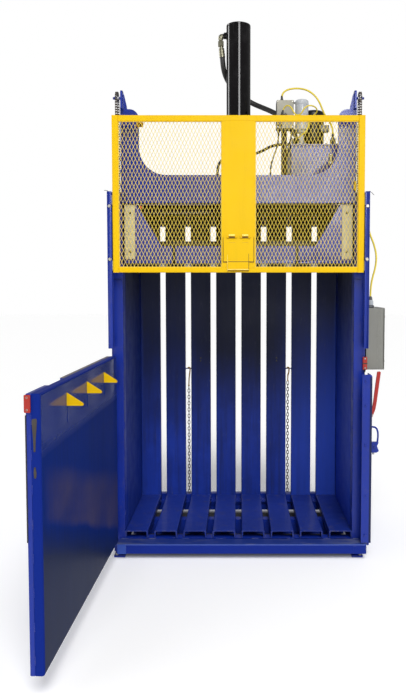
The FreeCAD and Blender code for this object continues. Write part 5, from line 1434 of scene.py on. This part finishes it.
def fittings():
    f = Piece("hose_end_fittings", "plated_fittings")
    Y = 407.5
    # upper hose: elbow out of the barrel, swivel nut, crimped ferrule
    f.hexhead((-101.5, Y, 3549), (-1, 0, 0), 31, 9, "barrel_black", washer=False)
    f.sweep([(-104, Y, 3549), (-111, Y, 3549), (-118, Y, 3547.5), (-123, Y, 3542), (-124.5, Y, 3533), (-124.5, Y, 3522)], 14, 24,
            radii=[13, 16, 18.2, 19, 18.4, 15], mat="hose_fitting")
    f.lathe((-123.5, Y, 3526), (0, 0, -1), [(0, 13), (10, 13), (12, 19), (15, 22.6), (45, 22.6), (48, 20), (51, 12)], 6, "hose_fitting")
    f.lathe((-121.5, Y, 3480), (0, 0, -1), [(0, 12), (1, 15.5), (5, 15.5), (7, 11.6), (16, 11.6), (17, 16)], 30, "hose_fitting")
    f.lathe((-120, Y, 3466), (6.5, 0, -62), [(0, 13), (1, 18.6), (9, 19.4), (11, 17.4), (15, 17.4), (17, 19.8), (28, 20), (30, 18), (34, 18),
                                           (36, 20), (47, 20.2), (49, 18.4), (52, 18.4), (54, 20.2), (61, 20.6), (63, 20.2), (64, 17.0)], 36,
            "hose_fitting")
    # lower hose at the barrel's foot
    f.hexhead((-101.5, Y, 2548), (-1, 0, 0), 27, 10, None, washer=False)
    f.sweep([(-110, Y, 2548), (-140, Y, 2548), (-146, Y, 2549.4), (-149.2, Y, 2553), (-150, Y, 2558), (-150, Y, 2566)], 9, 20,
            radii=[9, 9, 10, 10.5, 10, 9])
    f.prism([(-150 + 12.6 * math.cos(math.pi / 3 * k), Y + 12.6 * math.sin(math.pi / 3 * k)) for k in range(6)], "z", 2561, 2573, 1, 2)
    crimp(f, (0, 0, 1), 18, (-150, Y, 2572), 26)
    # upper hose at the valve block
    d = (Vector((392, 452, 2896)) - Vector((372.1, 452, 2930.7))).normalized()
    e = Vector((392, 452, 2896)) + d * 44
    crimp(f, -d, 33, Vector((392, 452, 2896)) + d * 26, 46)
    f.sweep([Vector((392, 452, 2896)) + d * 16, e - d * 12, e - d * 3, e + Vector((-1.5, 0, -7)), e + Vector((0, 0, -16))], 14, 24)
    f.prism([(e.x + 21 * math.cos(math.pi / 3 * k), e.y + 21 * math.sin(math.pi / 3 * k)) for k in range(6)], "z", LZ + 79, e.z - 8, 1.4, 2)
    # lower hose at the valve block
    f.prism([(466 + 13 * math.cos(math.pi / 3 * k), 2812 + 13 * math.sin(math.pi / 3 * k)) for k in range(6)], "x", 358, 371.6, 1, 2)
    f.cyl((348, 466, 2812), (360, 466, 2812), 9.5, 24, bev=0.6)
    crimp(f, (1, 0, 0), 18, (326, 466, 2812), 26)
    f.out("machine", ["hose_fittings"], "plated_fittings")


def gland(p, base, a, r, h, cord, mat="black_plastic", lock="dark_steel"):
    """Cable gland: hexagon, ribbed cap nut, and a tapered ribbed strain relief down to the cable."""
    b, a = Vector(base), Vector(a).normalized()
    p.hexhead(b, a, r * 1.85, h * 0.28, mat, washer=False)
    p.lathe(b, a, [(h * 0.26, r * 0.86), (h * 0.34, r * 0.98), (h * 0.62, r * 0.98), (h * 0.74, r * 0.82), (h * 0.80, cord + 2.6)], 30, mat)
    rings = []
    t0, t1 = h * 0.78, h * 0.78 + max(18.0, cord * 4.0)
    n = 6
    for k in range(n):
        s, e = t0 + (t1 - t0) * k / n, t0 + (t1 - t0) * (k + 0.62) / n
        ra = cord + 2.6 - 2.1 * k / n
        rings += [(s, ra), (e, ra - 0.25), (e + 0.3, ra - 0.9), (t0 + (t1 - t0) * (k + 0.96) / n, ra - 0.9)]
    rings.append((t1, cord + 0.15))
    p.lathe(b, a, rings, 24, mat)


MATS["gland_grey"] = soft_plastic("gland_light_grey", srgb("a4a9b0"), 0.42, 260, 0.1)
MATS["gland_dark"] = soft_plastic("gland_dark_grey", srgb("4c4e52"), 0.48, 260, 0.15)


def cable_ends():
    g = Piece("cable_glands", "black_plastic")
    gland(g, (300, 312, 3072), (0, 0, 1), 11, 22, 6)
    gland(g, (278, 312, 2880), (0, 0, -1), 11, 20, 5)
    gland(g, (366, 300, 2880), (0, 0, -1), 11, 20, 5)
    gland(g, (222, 300, 2483), (0, 0, 1), 10, 15, 5)
    gland(g, (332, 300, 2483), (0, 0, 1), 10, 15, 5)
    # junction box on the tank lid, where the motor's lead ends
    g.box(636, 670, 282, 328, LZ, LZ + 55, 3, 3)
    g.box(634.4, 671.6, 278.4, 284, LZ + 1, LZ + 56, 2, 3)
    for x in (640, 666):
        for z in (LZ + 8, LZ + 49):
            g.lathe((x, 278.6, z), (0, -1, 0), [(0, 3.2), (0.5, 3.0), (0.5, 0)], 14, "plated_fittings")
    gland(g, (653, 297, 2815), (0, 0, 1), 11, 18, 6)
    # side-entry housing on the starter box and its long tapered boot
    g.box(271, 299, 237, 262, 2897, 2931, 4, 3)
    bd = Vector((4.8, -2.4, 15.0)).normalized()
    tip = Vector((303, 240, 2990))
    pr = []
    for k in range(9):
        t0 = -58 + k * 6.6
        r = 11.8 - 0.62 * k
        pr += [(t0, r), (t0 + 4.2, r - 0.25), (t0 + 4.5, r - 1.1), (t0 + 6.3, r - 1.2)]
    g.lathe(tip, bd, [(-64, 9)] + pr + [(3, 5.2), (8, 4.7)], 28)
    # coil plug of the valve, with its entry
    g.prism([(400 + 9 * math.cos(math.pi / 4 * (k + 0.5)), 2801 + 9 * math.sin(math.pi / 4 * (k + 0.5))) for k in range(8)], "y", 330, 342, 1, 2)
    g.lathe((400, 331, 2801), (0, -1, 0), [(0, 8.6), (9, 8.6), (11, 7), (14, 6.6), (14.4, 5.6), (18, 5.6), (18.4, 5.0), (24, 5.0)], 26)
    # big gland on the control box
    g.prism([(880 + 24 * math.cos(math.pi / 3 * k), 60 + 24 * math.sin(math.pi / 3 * k)) for k in range(6)], "z", 1653, 1666, 2.4, 3,
            mat="gland_dark")
    g.lathe((880, 60, 1653), (0, 0, 1), [(6, 26), (12, 25), (18, 21), (20, 18)], 36, "gland_dark")
    g.lathe((880, 60, 1666), (0, 0, 1), [(4, 17), (6, 19), (8, 19.3), (30, 19.3), (33, 18.2), (38, 15.5), (40, 14)], 40, "gland_grey")
    for k in range(16):
        a = 2 * math.pi * k / 16
        g.box(-1.3, 1.3, 18.4, 20, 1675, 1694, 0.5, 1, mat="gland_grey",
              xf=Matrix.Translation((880, 60, 0)) @ Matrix.Rotation(a, 4, "Z"))
    g.lathe((880, 60, 1705), (0, 0, 1), [(0, 13), (1, 14), (8, 14), (10, 12.4), (19, 11.6), (22, 9), (25, 6.3)], 32, "gland_dark")
    # outlet box high on the post, with its down-turned spout
    g.box(838, 866, 42, 78, 2296, 2336, 3.5, 3)
    g.box(843, 861, 40.8, 43, 2300, 2332, 1.2, 2)
    for z in (2303.5, 2328.5):
        g.lathe((852, 40.8, z), (0, -1, 0), [(0, 2.6), (1, 2.4), (1, 0)], 12, "plated_fittings")
    g.lathe((852, 60, 2297), (0, 0, -1), [(0, 12), (3, 12.5), (8, 12.5), (11, 11), (13, 9)], 28)
    pr = []
    for k in range(6):
        t = 11 + k * 5
        r = 9.6 - 0.5 * k
        pr += [(t, r), (t + 3, r - 0.25), (t + 3.3, r - 1.1), (t + 4.7, r - 1.2)]
    g.lathe((852, 60, 2297), (0, 0, -1), pr + [(41, 6.2)], 24)
    g.out("machine", ["cable_fittings"], "black_paint")
    return g


cylinder_details()
motor()
valve()
starter()
fittings()
cable_ends()


# ================================================================ hoses and cables
def cord(name, points, dia, mat, slot, nodes, length, **kw):
    cu = bpy.data.curves.new(name, "CURVE")
    cu.dimensions = "3D"
    sp = cu.splines.new("NURBS")
    sp.points.add(len(points) - 1)
    for q, p in zip(sp.points, points):
        q.co = (*W(*p), 1.0)
    sp.order_u = 3
    sp.use_endpoint_u = True
    sp.resolution_u = 10
    cu.bevel_depth = dia / 2000.0
    cu.bevel_resolution = 6
    cu.use_fill_caps = True
    cu.materials.append(MATS[mat])
    o = bpy.data.objects.new(name, cu)
    scene.collection.objects.link(o)
    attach(o, "machine")
    if nodes:
        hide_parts(*nodes)
    return o


HOSE1 = [(-113.5, 407.5, 3404), (-111, 410, 3378), (-107.6, 422.6, 3342.8), (-98.2, 449.9, 3302.4), (-77.3, 493.5, 3264.8),
         (-45.2, 540.8, 3232.6), (0, 578.8, 3198.1), (50.4, 597, 3166.4), (105.9, 597.5, 3132.6), (172.3, 576.6, 3100.1),
         (247.7, 525.8, 3056.4), (314.5, 474.5, 3001.5), (371, 452, 2930.7), (392, 452, 2896)]
HOSE2 = [(337, 466, 2812), (287, 466, 2812), (225.6, 479.2, 2799.2), (171, 507.5, 2771.8), (88.2, 532.6, 2748),
         (-1.5, 522, 2736.7), (-78.4, 470.1, 2737.4), (-131.5, 423.9, 2682.9), (-150, 407.5, 2630), (-150, 407.5, 2580)]
LINE_A = [(278, 312, 2860), (278, 312, 2808), (263, 308, 2744), (238, 304, 2684), (223, 301, 2620), (222, 300, 2555), (222, 300, 2497)]
LINE_B = [(366, 300, 2860), (366, 300, 2822), (347, 297, 2776), (337, 293, 2722), (334, 294, 2662), (333, 297, 2604),
          (332, 300, 2550), (332, 300, 2497)]
MOTOR_CABLE = [(300, 312, 3094), (301, 312, 3116), (311, 309.5, 3135), (331, 305.5, 3149), (360, 300, 3156.5), (399, 293, 3158.5),
               (440, 285.5, 3153), (479, 278.5, 3139), (513, 272.5, 3114), (540, 267.5, 3083), (560, 264, 3047), (575, 261.5, 3008),
               (592, 262, 2970), (617, 268, 2938), (638, 278, 2913), (649, 289, 2884), (653, 297, 2857), (653, 297, 2833)]
SOLENOID_CABLE = [(303, 240, 2990), (307.8, 237.6, 3005), (316, 232, 3017.5), (329, 223.5, 3023.5), (344, 213.5, 3020), (357, 204.5, 3006),
                  (367, 197, 2987), (376, 189.5, 2966), (389, 180, 2950.5), (406.4, 168.7, 2946.8), (422.5, 158.5, 2955.2),
                  (433, 154, 2974), (446, 151, 2993), (466, 151, 3004.5), (491, 154, 3006.5), (514, 163.5, 3000), (529.5, 179.5, 2989),
                  (532, 201, 2977), (520, 217.5, 2964), (501, 220.5, 2949), (486.5, 211, 2930), (479, 198.5, 2908.5),
                  (474, 187.5, 2884), (466, 178.5, 2860), (453, 171.5, 2838), (435, 169, 2819), (415, 175, 2806), (401, 193, 2799),
                  (394.5, 216, 2797), (394.5, 242, 2798), (397.5, 268, 2800), (400, 294, 2801), (400, 320, 2801)]
CONTROL_CABLE = [(852, 60, 2284), (853, 58, 2226), (867, 52, 2150), (897, 45, 2076), (915, 42, 2000), (910, 46, 1922),
                 (890, 54, 1850), (881, 59, 1784), (880, 60, 1730)]


def hose_rubber():
    """Braid-covered hose: a faint wrapped weave under a dusty skin."""
    m = Mat("hose_wrapped_rubber", (0.0120, 0.0115, 0.0115), rough=0.52)
    m.mix_color(m.math("MULTIPLY", m.ramp(m.noise(12, 6, 0.65), 0.45, 0.75), 0.5), (0.035, 0.032, 0.029))
    a = m.noise(240, 2, 0.4, stretch=(1, 1, 0.35))
    m.mix_rough(m.ramp(m.noise(22, 5, 0.6), 0.35, 0.75), 0.72)
    m.bump(a, 0.30, 0.0008)
    m.bump(m.noise(30, 4, 0.6), 0.15, 0.001)
    return m.done()


MATS["rubber_hose"] = hose_rubber()
cord("upper_hose", HOSE1, 36, "rubber_hose", "rubber_hose", ["hose_upper"], 0.8436)
cord("lower_hose", HOSE2, 20, "rubber_hose", "rubber_hose", ["hose_lower"], 0.6436)
cord("starter_lead_a", LINE_A, 10, "rubber_hose", "rubber_hose", ["starter_leads"], 0.3711, stiffness="medium")
cord("starter_lead_b", LINE_B, 10, "rubber_hose", "rubber_hose", ["starter_leads"], 0.3674, stiffness="medium")
cord("motor_lead", MOTOR_CABLE, 12, "yellow_cable", "yellow_cable", ["motor_cable"], 0.593, stiffness="medium")
cord("solenoid_lead", SOLENOID_CABLE, 9, "yellow_cable", "yellow_cable", ["solenoid_cable"], 0.740, stiffness="limp", lay="loose")
cord("control_lead", CONTROL_CABLE, 12, "yellow_cable", "yellow_cable", ["control_cable"], 0.5666, stiffness="medium")
assign(NODES["cylinder_barrel"], "barrel_black")
assign(NODES["head_beams"], "head_blue_with_painted_shade")
assign(NODES["piston_rod"], "chrome_rod")
assign(NODES["platen_frame"], "blue_platen")
assign(NODES["oil_tank"], "blue_tank")
# ================================================================ platen, ejectors, brackets
def platen_trim():
    w = Piece("platen_wear_strip_pair", "wear_plastic")
    for s in (-1, 1):
        w.box(s * 680, s * 748, 12, 20, 1976, 2329, 2.2, 3)
        for z in (2022, 2277):
            w.lathe((s * 712, 12.6, z), (0, -1, 0), [(0, 11), (0.5, 11), (0.5, 8.5)], 26, "dark_steel")
            w.lathe((s * 712, 12.2, z), (0, -1, 0), [(0, 8.4), (0.9, 8.0), (1.1, 4.6), (0.2, 4.2), (0.2, 0)], 24, "dark_steel")
    w.out("platen", ["platen_wear_strips"], "wear_plastic")
    p = Piece("platen_trim", "blue_platen")
    p.lathe((-643, 20, 2314), (0, -1, 0), [(0, 10), (3.5, 10), (5.5, 7), (6, 0)], 22, "orange_cap")
    for x0 in range(-480, 480, 120):
        p.weld((x0, 18.8, 1967), (x0 + 50, 18.8, 1967), 2.6)
    for s in (-1, 1):
        p.weld((s * 512, 18.6, 1990), (s * 512, 18.6, 2050), 2.4)
    # bolted ring where the rod meets the platen
    for x, y in ring_of(6, 66, 0, 407.5, 30):
        p.hexhead((x, y, 2096), (0, 0, 1), 19, 11, "plated_fittings")
    p.out("platen", (), "blue_paint")


def link_chain(p, x, y, z0, z1, wire, pitch, wide, first=0, mat="chain_steel"):
    """Hanging chain of welded oval links, each turned a quarter from the last."""
    n = int((z1 - z0) / pitch)
    zz = z1
    for i in range(n):
        c = Vector((x, y, zz - pitch / 2))
        a = Vector((1, 0, 0)) if (i + first) % 2 else Vector((0, 1, 0))
        pts = []
        h, w = pitch / 2 + wire * 0.5 - wire * 0.1, wide / 2 - wire / 2
        straight = h - w
        for k in range(20):
            g = 2 * math.pi * k / 20
            dz = math.sin(g) * w + (straight if math.sin(g) > 0 else -straight)
            pts.append(c + a * (math.cos(g) * w) + Vector((0, 0, dz)))
        m = 7
        vs, fs = [], []
        N = len(pts)
        for k in range(N):
            t = (pts[(k + 1) % N] - pts[k - 1]).normalized()
            b = a.cross(Vector((0, 0, 1))).normalized()
            nn = b.cross(t).normalized()
            for j in range(m):
                g = 2 * math.pi * j / m
                vs.append(pts[k] + (nn * math.cos(g) + b * math.sin(g)) * wire / 2)
        for k in range(N):
            k2 = (k + 1) % N
            for j in range(m):
                j2 = (j + 1) % m
                fs.append([k * m + j, k2 * m + j, k2 * m + j2, k * m + j2])
        p.add(vs, fs, mat)
        zz -= pitch
    return zz


def ejectors():
    e = Piece("ejector_chain_pair", "chain_steel")
    link_chain(e, -389, 831, 158, 1018, 5.6, 25.0, 21.0)
    link_chain(e, 386, 831, 158, 1054, 5.6, 25.0, 21.0, 1)
    for cx in (-392, 392):
        e.box(cx - 20, cx + 20, 821, 841, 106, 158, 2, 2, mat="blue_paint")
        e.cyl((cx - 20, 831, 150), (cx + 20, 831, 150), 5, 20, mat="bare_steel")
        e.sweep([(cx - 22, 841, 1155), (cx - 20, 839, 1155), (cx + 20, 839, 1155), (cx + 22, 841, 1155)], 4.6, 12, mat="blue_paint")
    e.out("machine", ["ejector_chains"], "chain_steel")
    h = Piece("ejector_hook_pair", "yellow_hook")
    for cx, zt in ((-389, 1018), (386, 1054)):
        top = 1168
        # forged hook: a round bar that swells in the shank and tapers at the tip
        pts = [(cx, 831, zt), (cx + 0.5, 831, zt + 30), (cx + 2, 831, zt + 60), (cx + 5, 831, top - 60), (cx + 8.5, 831, top - 34),
               (cx + 10, 831, top - 18), (cx + 8, 831, top - 7), (cx + 2, 831, top - 3), (cx - 5, 831, top - 5), (cx - 10, 831, top - 12)]
        h.sweep(pts, 5, 14, radii=[4.2, 4.6, 5.0, 5.4, 5.4, 5.4, 5.2, 4.8, 4.2, 3.0])
        h.lathe((cx, 831, zt - 1), (0, 0, 1), [(0, 6), (1, 7.2), (8, 7.2), (10, 5)], 20)
    h.out("machine", ["ejector_hooks"], "yellow_paint")


MATS["yellow_hook"] = paint("yellow_hook_paint", srgb("b98a2c"), rough=0.5, coat=0.05, dark=0.6, streak=0.3, dirt=0.55,
                            dirt_col=(0.05, 0.035, 0.02), wear=0.8, wear_col=[0.12, 0.09, 0.05], waves=0.0)


def guides():
    g = Piece("gate_guide_trim", "blue_paint")
    for s in (-1, 1):
        for z in (1970, 2310):
            g.hexhead((s * 829, -85, z), (0, -1, 0), 17, 8, "plated_fittings")
        for z in (1392, 2405):
            pass
        for z in (1420, 1780, 2080, 2340):
            g.weld((s * 829 - 7, -34.6, z - 1), (s * 829 + 7, -34.6, z - 1), 2.2)
            g.weld((s * 829 - 7, -34.6, z + 41), (s * 829 + 7, -34.6, z + 41), 2.2)
        # bracket welds on the head ears, and the wheel's pin with its split pin
        for x in (-764, -748):
            g.weld((-s * x, -28, 2944), (-s * x, 28, 2944), 2.6)
        g.lathe((s * 801, 0, 3012), (s, 0, 0), [(0, 12), (1.4, 12), (2, 8), (11, 8), (13, 6), (13, 0)], 28, "blue_paint")
        g.sweep([(s * 808, -13, 3012), (s * 808, 13, 3012)], 1.8, 8, mat="dark_steel")
    # bent ends of the liners' wire at the top of both guides
    g.sweep([(-838, -60, 2404), (-846, -60, 2412), (-866, -60, 2414)], 1.6, 8, mat="dark_steel")
    g.sweep([(838, -60, 2404), (846, -60, 2409), (862, -60, 2396), (874, -60, 2384)], 1.6, 8, mat="dark_steel")
    g.out("machine", (), "blue_paint")


platen_trim()
ejectors()
guides()


# ================================================================ controls and latch
def controls():
    b = Piece("control_enclosure", "grey_enclosure")
    X0, X1, Y0, Y1, Z0, Z1 = 848.0, 966.0, 20.0, 320.0, 1242.0, 1653.0
    # folded body: rounded rim walls and back
    outer, inner, lip = [], [], []
    def rr(a0, a1, b0, b1, r, n=5):
        out = []
        for cx, cy, s in ((a1 - r, b1 - r, 0), (a0 + r, b1 - r, 90), (a0 + r, b0 + r, 180), (a1 - r, b0 + r, 270)):
            for k in range(n + 1):
                g = math.radians(s + 90 * k / n)
                out.append((cx + r * math.cos(g), cy + r * math.sin(g)))
        return out
    b.loops(rr(Y0, Y1, Z0, Z1, 8), rr(Y0 + 3, Y1 - 3, Z0 + 3, Z1 - 3, 5), "x", X0 + 1, X1)
    b.box(X0, X0 + 3, Y0 + 1, Y1 - 1, Z0 + 1, Z1 - 1, 1.2, 2)
    # rubber seal round the door opening, and a back plate with gear on it
    b.loops(rr(Y0 + 0.5, Y1 - 0.5, Z0 + 0.5, Z1 - 0.5, 7.5), rr(Y0 + 9, Y1 - 9, Z0 + 9, Z1 - 9, 3), "x", X1 - 2.5, X1 + 0.2,
            mat="black_plastic")
    b.box(X0 + 10, X0 + 13, Y0 + 22, Y1 - 22, Z0 + 26, Z1 - 26, 0.8, 1, mat="bare_steel")
    for k, (y, z, w, h) in enumerate(((60, 1520, 78, 84), (170, 1520, 60, 84), (245, 1520, 40, 84), (60, 1400, 60, 60), (150, 1400, 120, 42))):
        b.box(X0 + 13, X0 + 50, y, y + w, z, z + h, 3, 2, mat="black_plastic")
    for y in range(66, 280, 12):
        b.box(X0 + 13, X0 + 34, y, y + 9.5, 1320, 1362, 1.2, 1, mat="grey_terminal")
    b.box(X0 + 13, X0 + 40, 60, 284, 1374, 1390, 1.5, 1, mat="grey_terminal")
    for z in (1275, 1320, 1575, 1620):
        b.box(X0 + 60, 973, 320, 324, z, z + 14.5, 1, 2)
        b.cyl((975, 324, z), (975, 324, z + 14.5), 6, 26, bev=0.8)
    for z in (1275, 1575):
        b.cyl((975, 324, z - 1), (975, 324, z + 60.5), 3.2, 16, mat="bare_steel")
    for y0, y1 in ((30, 90), (280, 300)):
        for z in (1290, 1570):
            b.box(828 if y0 == 280 else 838, X0, y0, y1, z, z + 40, 1.2, 2, mat="blue_paint")
    # pressed lines down the front side, near the door
    for x in (X0 + 74, X0 + 92):
        b.box(x, x + 2.4, Y0 - 1.0, Y0 + 1, Z0 + 4, Z1 - 4, 0.7, 2)
    b.out("machine", ["control_box"], "grey_enclosure")

    d = Piece("control_enclosure_door", "grey_enclosure")
    hole = [(120, 1560), (215, 1560), (168, 1450)]
    d.loops(rr(Y0, Y1 - 4, Z0, Z1, 7), rr(Y0 + 2, Y1 - 6, Z0 + 2, Z1 - 2, 5), "x", 962, 970)
    bm = bmesh.new()
    ring_out = rr(Y0 + 1, Y1 - 5, Z0 + 1, Z1 - 1, 6)
    # door face with its three round openings
    for xx in (967.2, 970.0):
        vo = [bm.verts.new((xx, a, c)) for a, c in ring_out]
        eo = [bm.edges.new((vo[i], vo[(i + 1) % len(vo)])) for i in range(len(vo))]
        for y, z in hole:
            vh = [bm.verts.new((xx, y + 11.2 * math.cos(2 * math.pi * k / 24), z + 11.2 * math.sin(2 * math.pi * k / 24))) for k in range(24)]
            eo += [bm.edges.new((vh[k], vh[(k + 1) % 24])) for k in range(24)]
        bmesh.ops.triangle_fill(bm, use_beauty=True, use_dissolve=False, edges=eo, normal=(1, 0, 0))
    d.take(bm)
    for z in (1290, 1590):
        d.cyl((975, 324, z), (975, 324, z + 30), 6, 26, bev=0.8)
        d.box(968, 975, 306, 327, z, z + 30, 1.0, 2)
    # two coin-slot locks at the free edge, and a rib along the rim
    for z in (1300, 1595):
        d.lathe((970, 36, z), (1, 0, 0), [(0, 11), (1.5, 11), (3, 9.5), (3, 8)], 30, "plated_fittings")
        d.lathe((972, 36, z), (1, 0, 0), [(0, 7.8), (1.8, 7.4), (1.8, 0)], 26, "plated_fittings")
        d.box(973.6, 974.2, 35, 37, z - 6, z + 6, 0.2, 1, mat="dark_steel")
    d.loops(rr(Y0 + 14, Y1 - 18, 1392, 1610, 6), rr(Y0 + 17, Y1 - 21, 1395, 1607, 4), "x", 970, 971, mat="grey_enclosure")
    # bezels of the two buttons
    d.lathe((970, 120, 1560), (1, 0, 0), [(0, 15.2), (0, 18.4), (1.5, 18.6), (4, 18.6), (5.2, 17.4), (5.4, 15.2)], 40, "plated_fittings", close=True)
    d.lathe((970, 215, 1560), (1, 0, 0), [(0, 12.0), (0, 18.6), (0.7, 18.8), (1.3, 18.0), (1.3, 12.0)], 40, "plated_fittings", close=True)
    d.out("control_door", ["control_box_door"], "grey_enclosure")

    s = Piece("start_push_button", "green_button")
    s.lathe((952, 120, 1560), (1, 0, 0), [(0, 9), (0, 11), (14, 11), (15, 11), (15.2, 10.8), (18, 10.8)], 36, "black_plastic")
    s.lathe((974.3, 120, 1560), (1, 0, 0), [(0, 11), (0, 14.4), (6.5, 14.4), (8.6, 13.4), (9.5, 10.5), (9.7, 0)], 36)
    s.out("start_button", ["start_button"], "red_plastic")
    t = Piece("stop_push_button", "red_button")
    t.lathe((952, 215, 1560), (1, 0, 0), [(0, 9), (0, 11), (18, 11)], 36, "black_plastic")
    t.lathe((974, 215, 1560), (1, 0, 0), [(-8, 10.8), (3.9, 10.8), (4.1, 12), (5.4, 19), (6.4, 21), (11, 21.4), (15, 19.5), (17.4, 14), (18, 8),
                                          (18, 0)], 48)
    t.out("stop_button", ["stop_button"], "red_plastic")
    k = Piece("key_lock", "black_plastic")
    k.lathe((952, 168, 1450), (1, 0, 0), [(0, 9), (0, 11), (19, 11)], 36)
    k.lathe((970.2, 168, 1450), (1, 0, 0), [(0, 10), (0, 15), (1.5, 15.4), (4, 15.4), (6.5, 14), (8.5, 13), (8.8, 10)], 40, "plated_fittings")
    k.lathe((976, 168, 1450), (1, 0, 0), [(0, 11), (3, 10.8), (3.4, 0)], 32)
    k.box(979, 990, 165.6, 170.4, 1439, 1461, 1.8, 3, mat="black_plastic")
    k.box(979, 984, 166.8, 169.2, 1444, 1456, 0.5, 1, mat="plated_fittings")
    k.out("key_switch", ["key_switch"], "black_paint")

    i = Piece("interlock_sensor", "red_plastic")
    i.box(820, 849, -24, 0, 1246, 1331, 4, 3)
    i.box(819.5, 849.5, -24.6, -2, 1284, 1292, 1.0, 2, mat="black_plastic")
    for z in (1257, 1320):
        i.lathe((834.5, -24, z), (0, -1, 0), [(0, 6), (1.8, 5.8), (2.6, 4.2), (1.2, 3.4), (1.2, 0)], 20, "plated_fittings")
    i.lathe((834, -12, 1247), (0, 0, -1), [(0, 8), (4, 7.5), (10, 6), (17, 5.2)], 22, "black_plastic")
    i.box(838, 846, 0, 14, 1252, 1325, 1, 2, mat="bare_steel")
    i.out("machine", ["interlock_switch"], "red_plastic")


MATS["grey_terminal"] = soft_plastic("terminal_grey_plastic", srgb("8f918c"), 0.45, 200, 0.1)
controls()


MATS["shade_navy"] = paint("navy_painted_shade_strip", (0.0040, 0.0110, 0.0700), rough=0.5, coat=0.0, dark=0.6, streak=0.3, dirt=0.4,
                           dirt_col=(0.012, 0.012, 0.016), wear=0.3, wear_col=[0.10, 0.11, 0.15], waves=0.05)


def latch():
    r = Piece("latch_red_lever", "red_lever")
    prof = [(871, 932), (884, 932), (887, 940), (904, 985), (912, 1030), (937, 1230), (934, 1236), (916, 1236), (912, 1230), (888, 1032),
            (881, 988), (871, 962)]
    r.prism(prof, "y", -36, -24, 2.2, 3)
    r.cyl((878, -38, 948), (878, -22, 948), 9, 26, mat="bare_steel", bev=1)
    r.hexhead((878, -38, 948), (0, -1, 0), 13, 6, "plated_fittings")
    r.out("latch", ["latch_lever"], "red_plastic")
    h = Piece("latch_grab_handle", "blue_paint")
    h.sweep([(869, -40, 870), (884, -40, 870), (896, -40, 868.5), (906, -40, 864), (914, -40, 855), (918.5, -40, 842), (921, -40, 826),
             (921.5, -40, 808), (920, -40, 788), (918, -40, 768)], 6, 20)
    h.lathe((869, -40, 870), (1, 0, 0), [(0, 9.5), (2.5, 8.6), (4, 6.4)], 24)
    h.prism([(870, 770), (922, 770), (924, 766), (914, 744), (926, 712), (922, 706), (910, 700), (876, 700), (870, 714)], "y", -54, -26, 3, 3)
    h.cyl((892, -40, 700), (892, -40, 686), 7, 24, bev=1.4, mat="bare_steel")
    h.hexhead((896, -54, 742), (0, -1, 0), 16, 7)
    h.out("latch", ["latch_handle"], "blue_paint")
    t = Piece("latch_bar_trim", "blue_paint")
    for z in (240, 640, 1080):
        for s in (0, 1):
            t.weld((870.8, 20, z + (2 if s else 48)), (870.8, 6, z + (2 if s else 48)), 2.2)
    for z0 in range(134, 1200, 130):
        t.weld((856.5, -83.5, z0), (856.5, -83.5, z0 + 46), 2.6)
    for z in (160, 420, 760, 1020, 1180):
        t.hexhead((831, -92, z), (0, -1, 0), 13, 6)
    # painted shade: a dark navy strip down the outer side of the closing plate
    t.box(856, 871, -92.8, -88, 109.5, 1208, 1.4, 2, mat="shade_navy")
    t.out("latch", (), "blue_paint")
    p = Piece("latch_hinge_trim", "blue_paint")
    for z in (240, 640, 1080):
        for zz in (z - 31, z + 81):
            p.lathe((868, 30, zz), (0, 0, 1 if zz > z else -1), [(0, 8), (1.6, 7.2), (2.4, 0)], 22, "bare_steel")
        for zz in (z - 30, z, z + 51, z + 80):
            p.weld((838.8, 20.5, zz), (838.8, 41.5, zz), 2.0)
    p.out("machine", (), "blue_paint")


MATS["red_lever"] = paint("red_lever_paint", srgb("a5231c"), rough=0.34, coat=0.25, dark=0.72, streak=0.1, dirt=0.2,
                          wear=0.7, wear_col=[0.30, 0.24, 0.22], waves=0.02)
latch()


def feet():
    f = Piece("foot_bolts", "blue_paint")
    for s in (-1, 1):
        for y in (-48, 96, 763, 863):
            f.hexhead((s * 808, y, 12), (0, 0, 1), 19, 9, "plated_fittings")
        for y in (10, 60, 785, 830):
            f.weld((s * 761, y, 13), (s * 761, y + 14, 13), 2.6)
    f.out("machine", (), "blue_paint")


feet()
for n in ("counterweight_left", "counterweight_right", "sprocket_left", "sprocket_right", "platen_frame", "cylinder_barrel"):
    soften(n, 1.0, 2)
# flat faces and long turned faces keep their own straight normals
for n, o in NODES.items():
    wn = o.modifiers.new("straight_normals", "WEIGHTED_NORMAL")
    wn.weight = 100
    wn.thresh = 0.02
# ================================================================ floor
def floor():
    me = bpy.data.meshes.new("studio_floor")
    s = 40
    me.from_pydata([(-s, -s, 0), (s, -s, 0), (s, s, 0), (-s, s, 0)], [], [(0, 1, 2, 3)])
    o = bpy.data.objects.new("studio_floor", me)
    scene.collection.objects.link(o)
    m = Mat("studio_floor", (0.97, 0.97, 0.97), rough=0.75)
    m.mix_color(m.math("MULTIPLY", m.noise(1.2, 2), 0.02), (0.94, 0.94, 0.94))
    # painted shade: the strip of floor that the machine covers is painted nearly black
    under = m.math("MULTIPLY", m.ramp(m.math("ABSOLUTE", m.axis(0), 0.0), 0.800, 0.740),
                   m.math("MULTIPLY", m.ramp(m.axis(1), -0.470, -0.400), m.ramp(m.axis(1), 0.500, 0.430)))
    m.mix_color(m.math("MULTIPLY", under, 0.96), (0.020, 0.020, 0.024))
    m.set("Emission Color", (1.0, 1.0, 1.0, 1.0))
    m.link(m.math("MULTIPLY", m.math("SUBTRACT", 1.0, under), 0.16), m.b.inputs["Emission Strength"])
    assign(o, m.done())


floor()
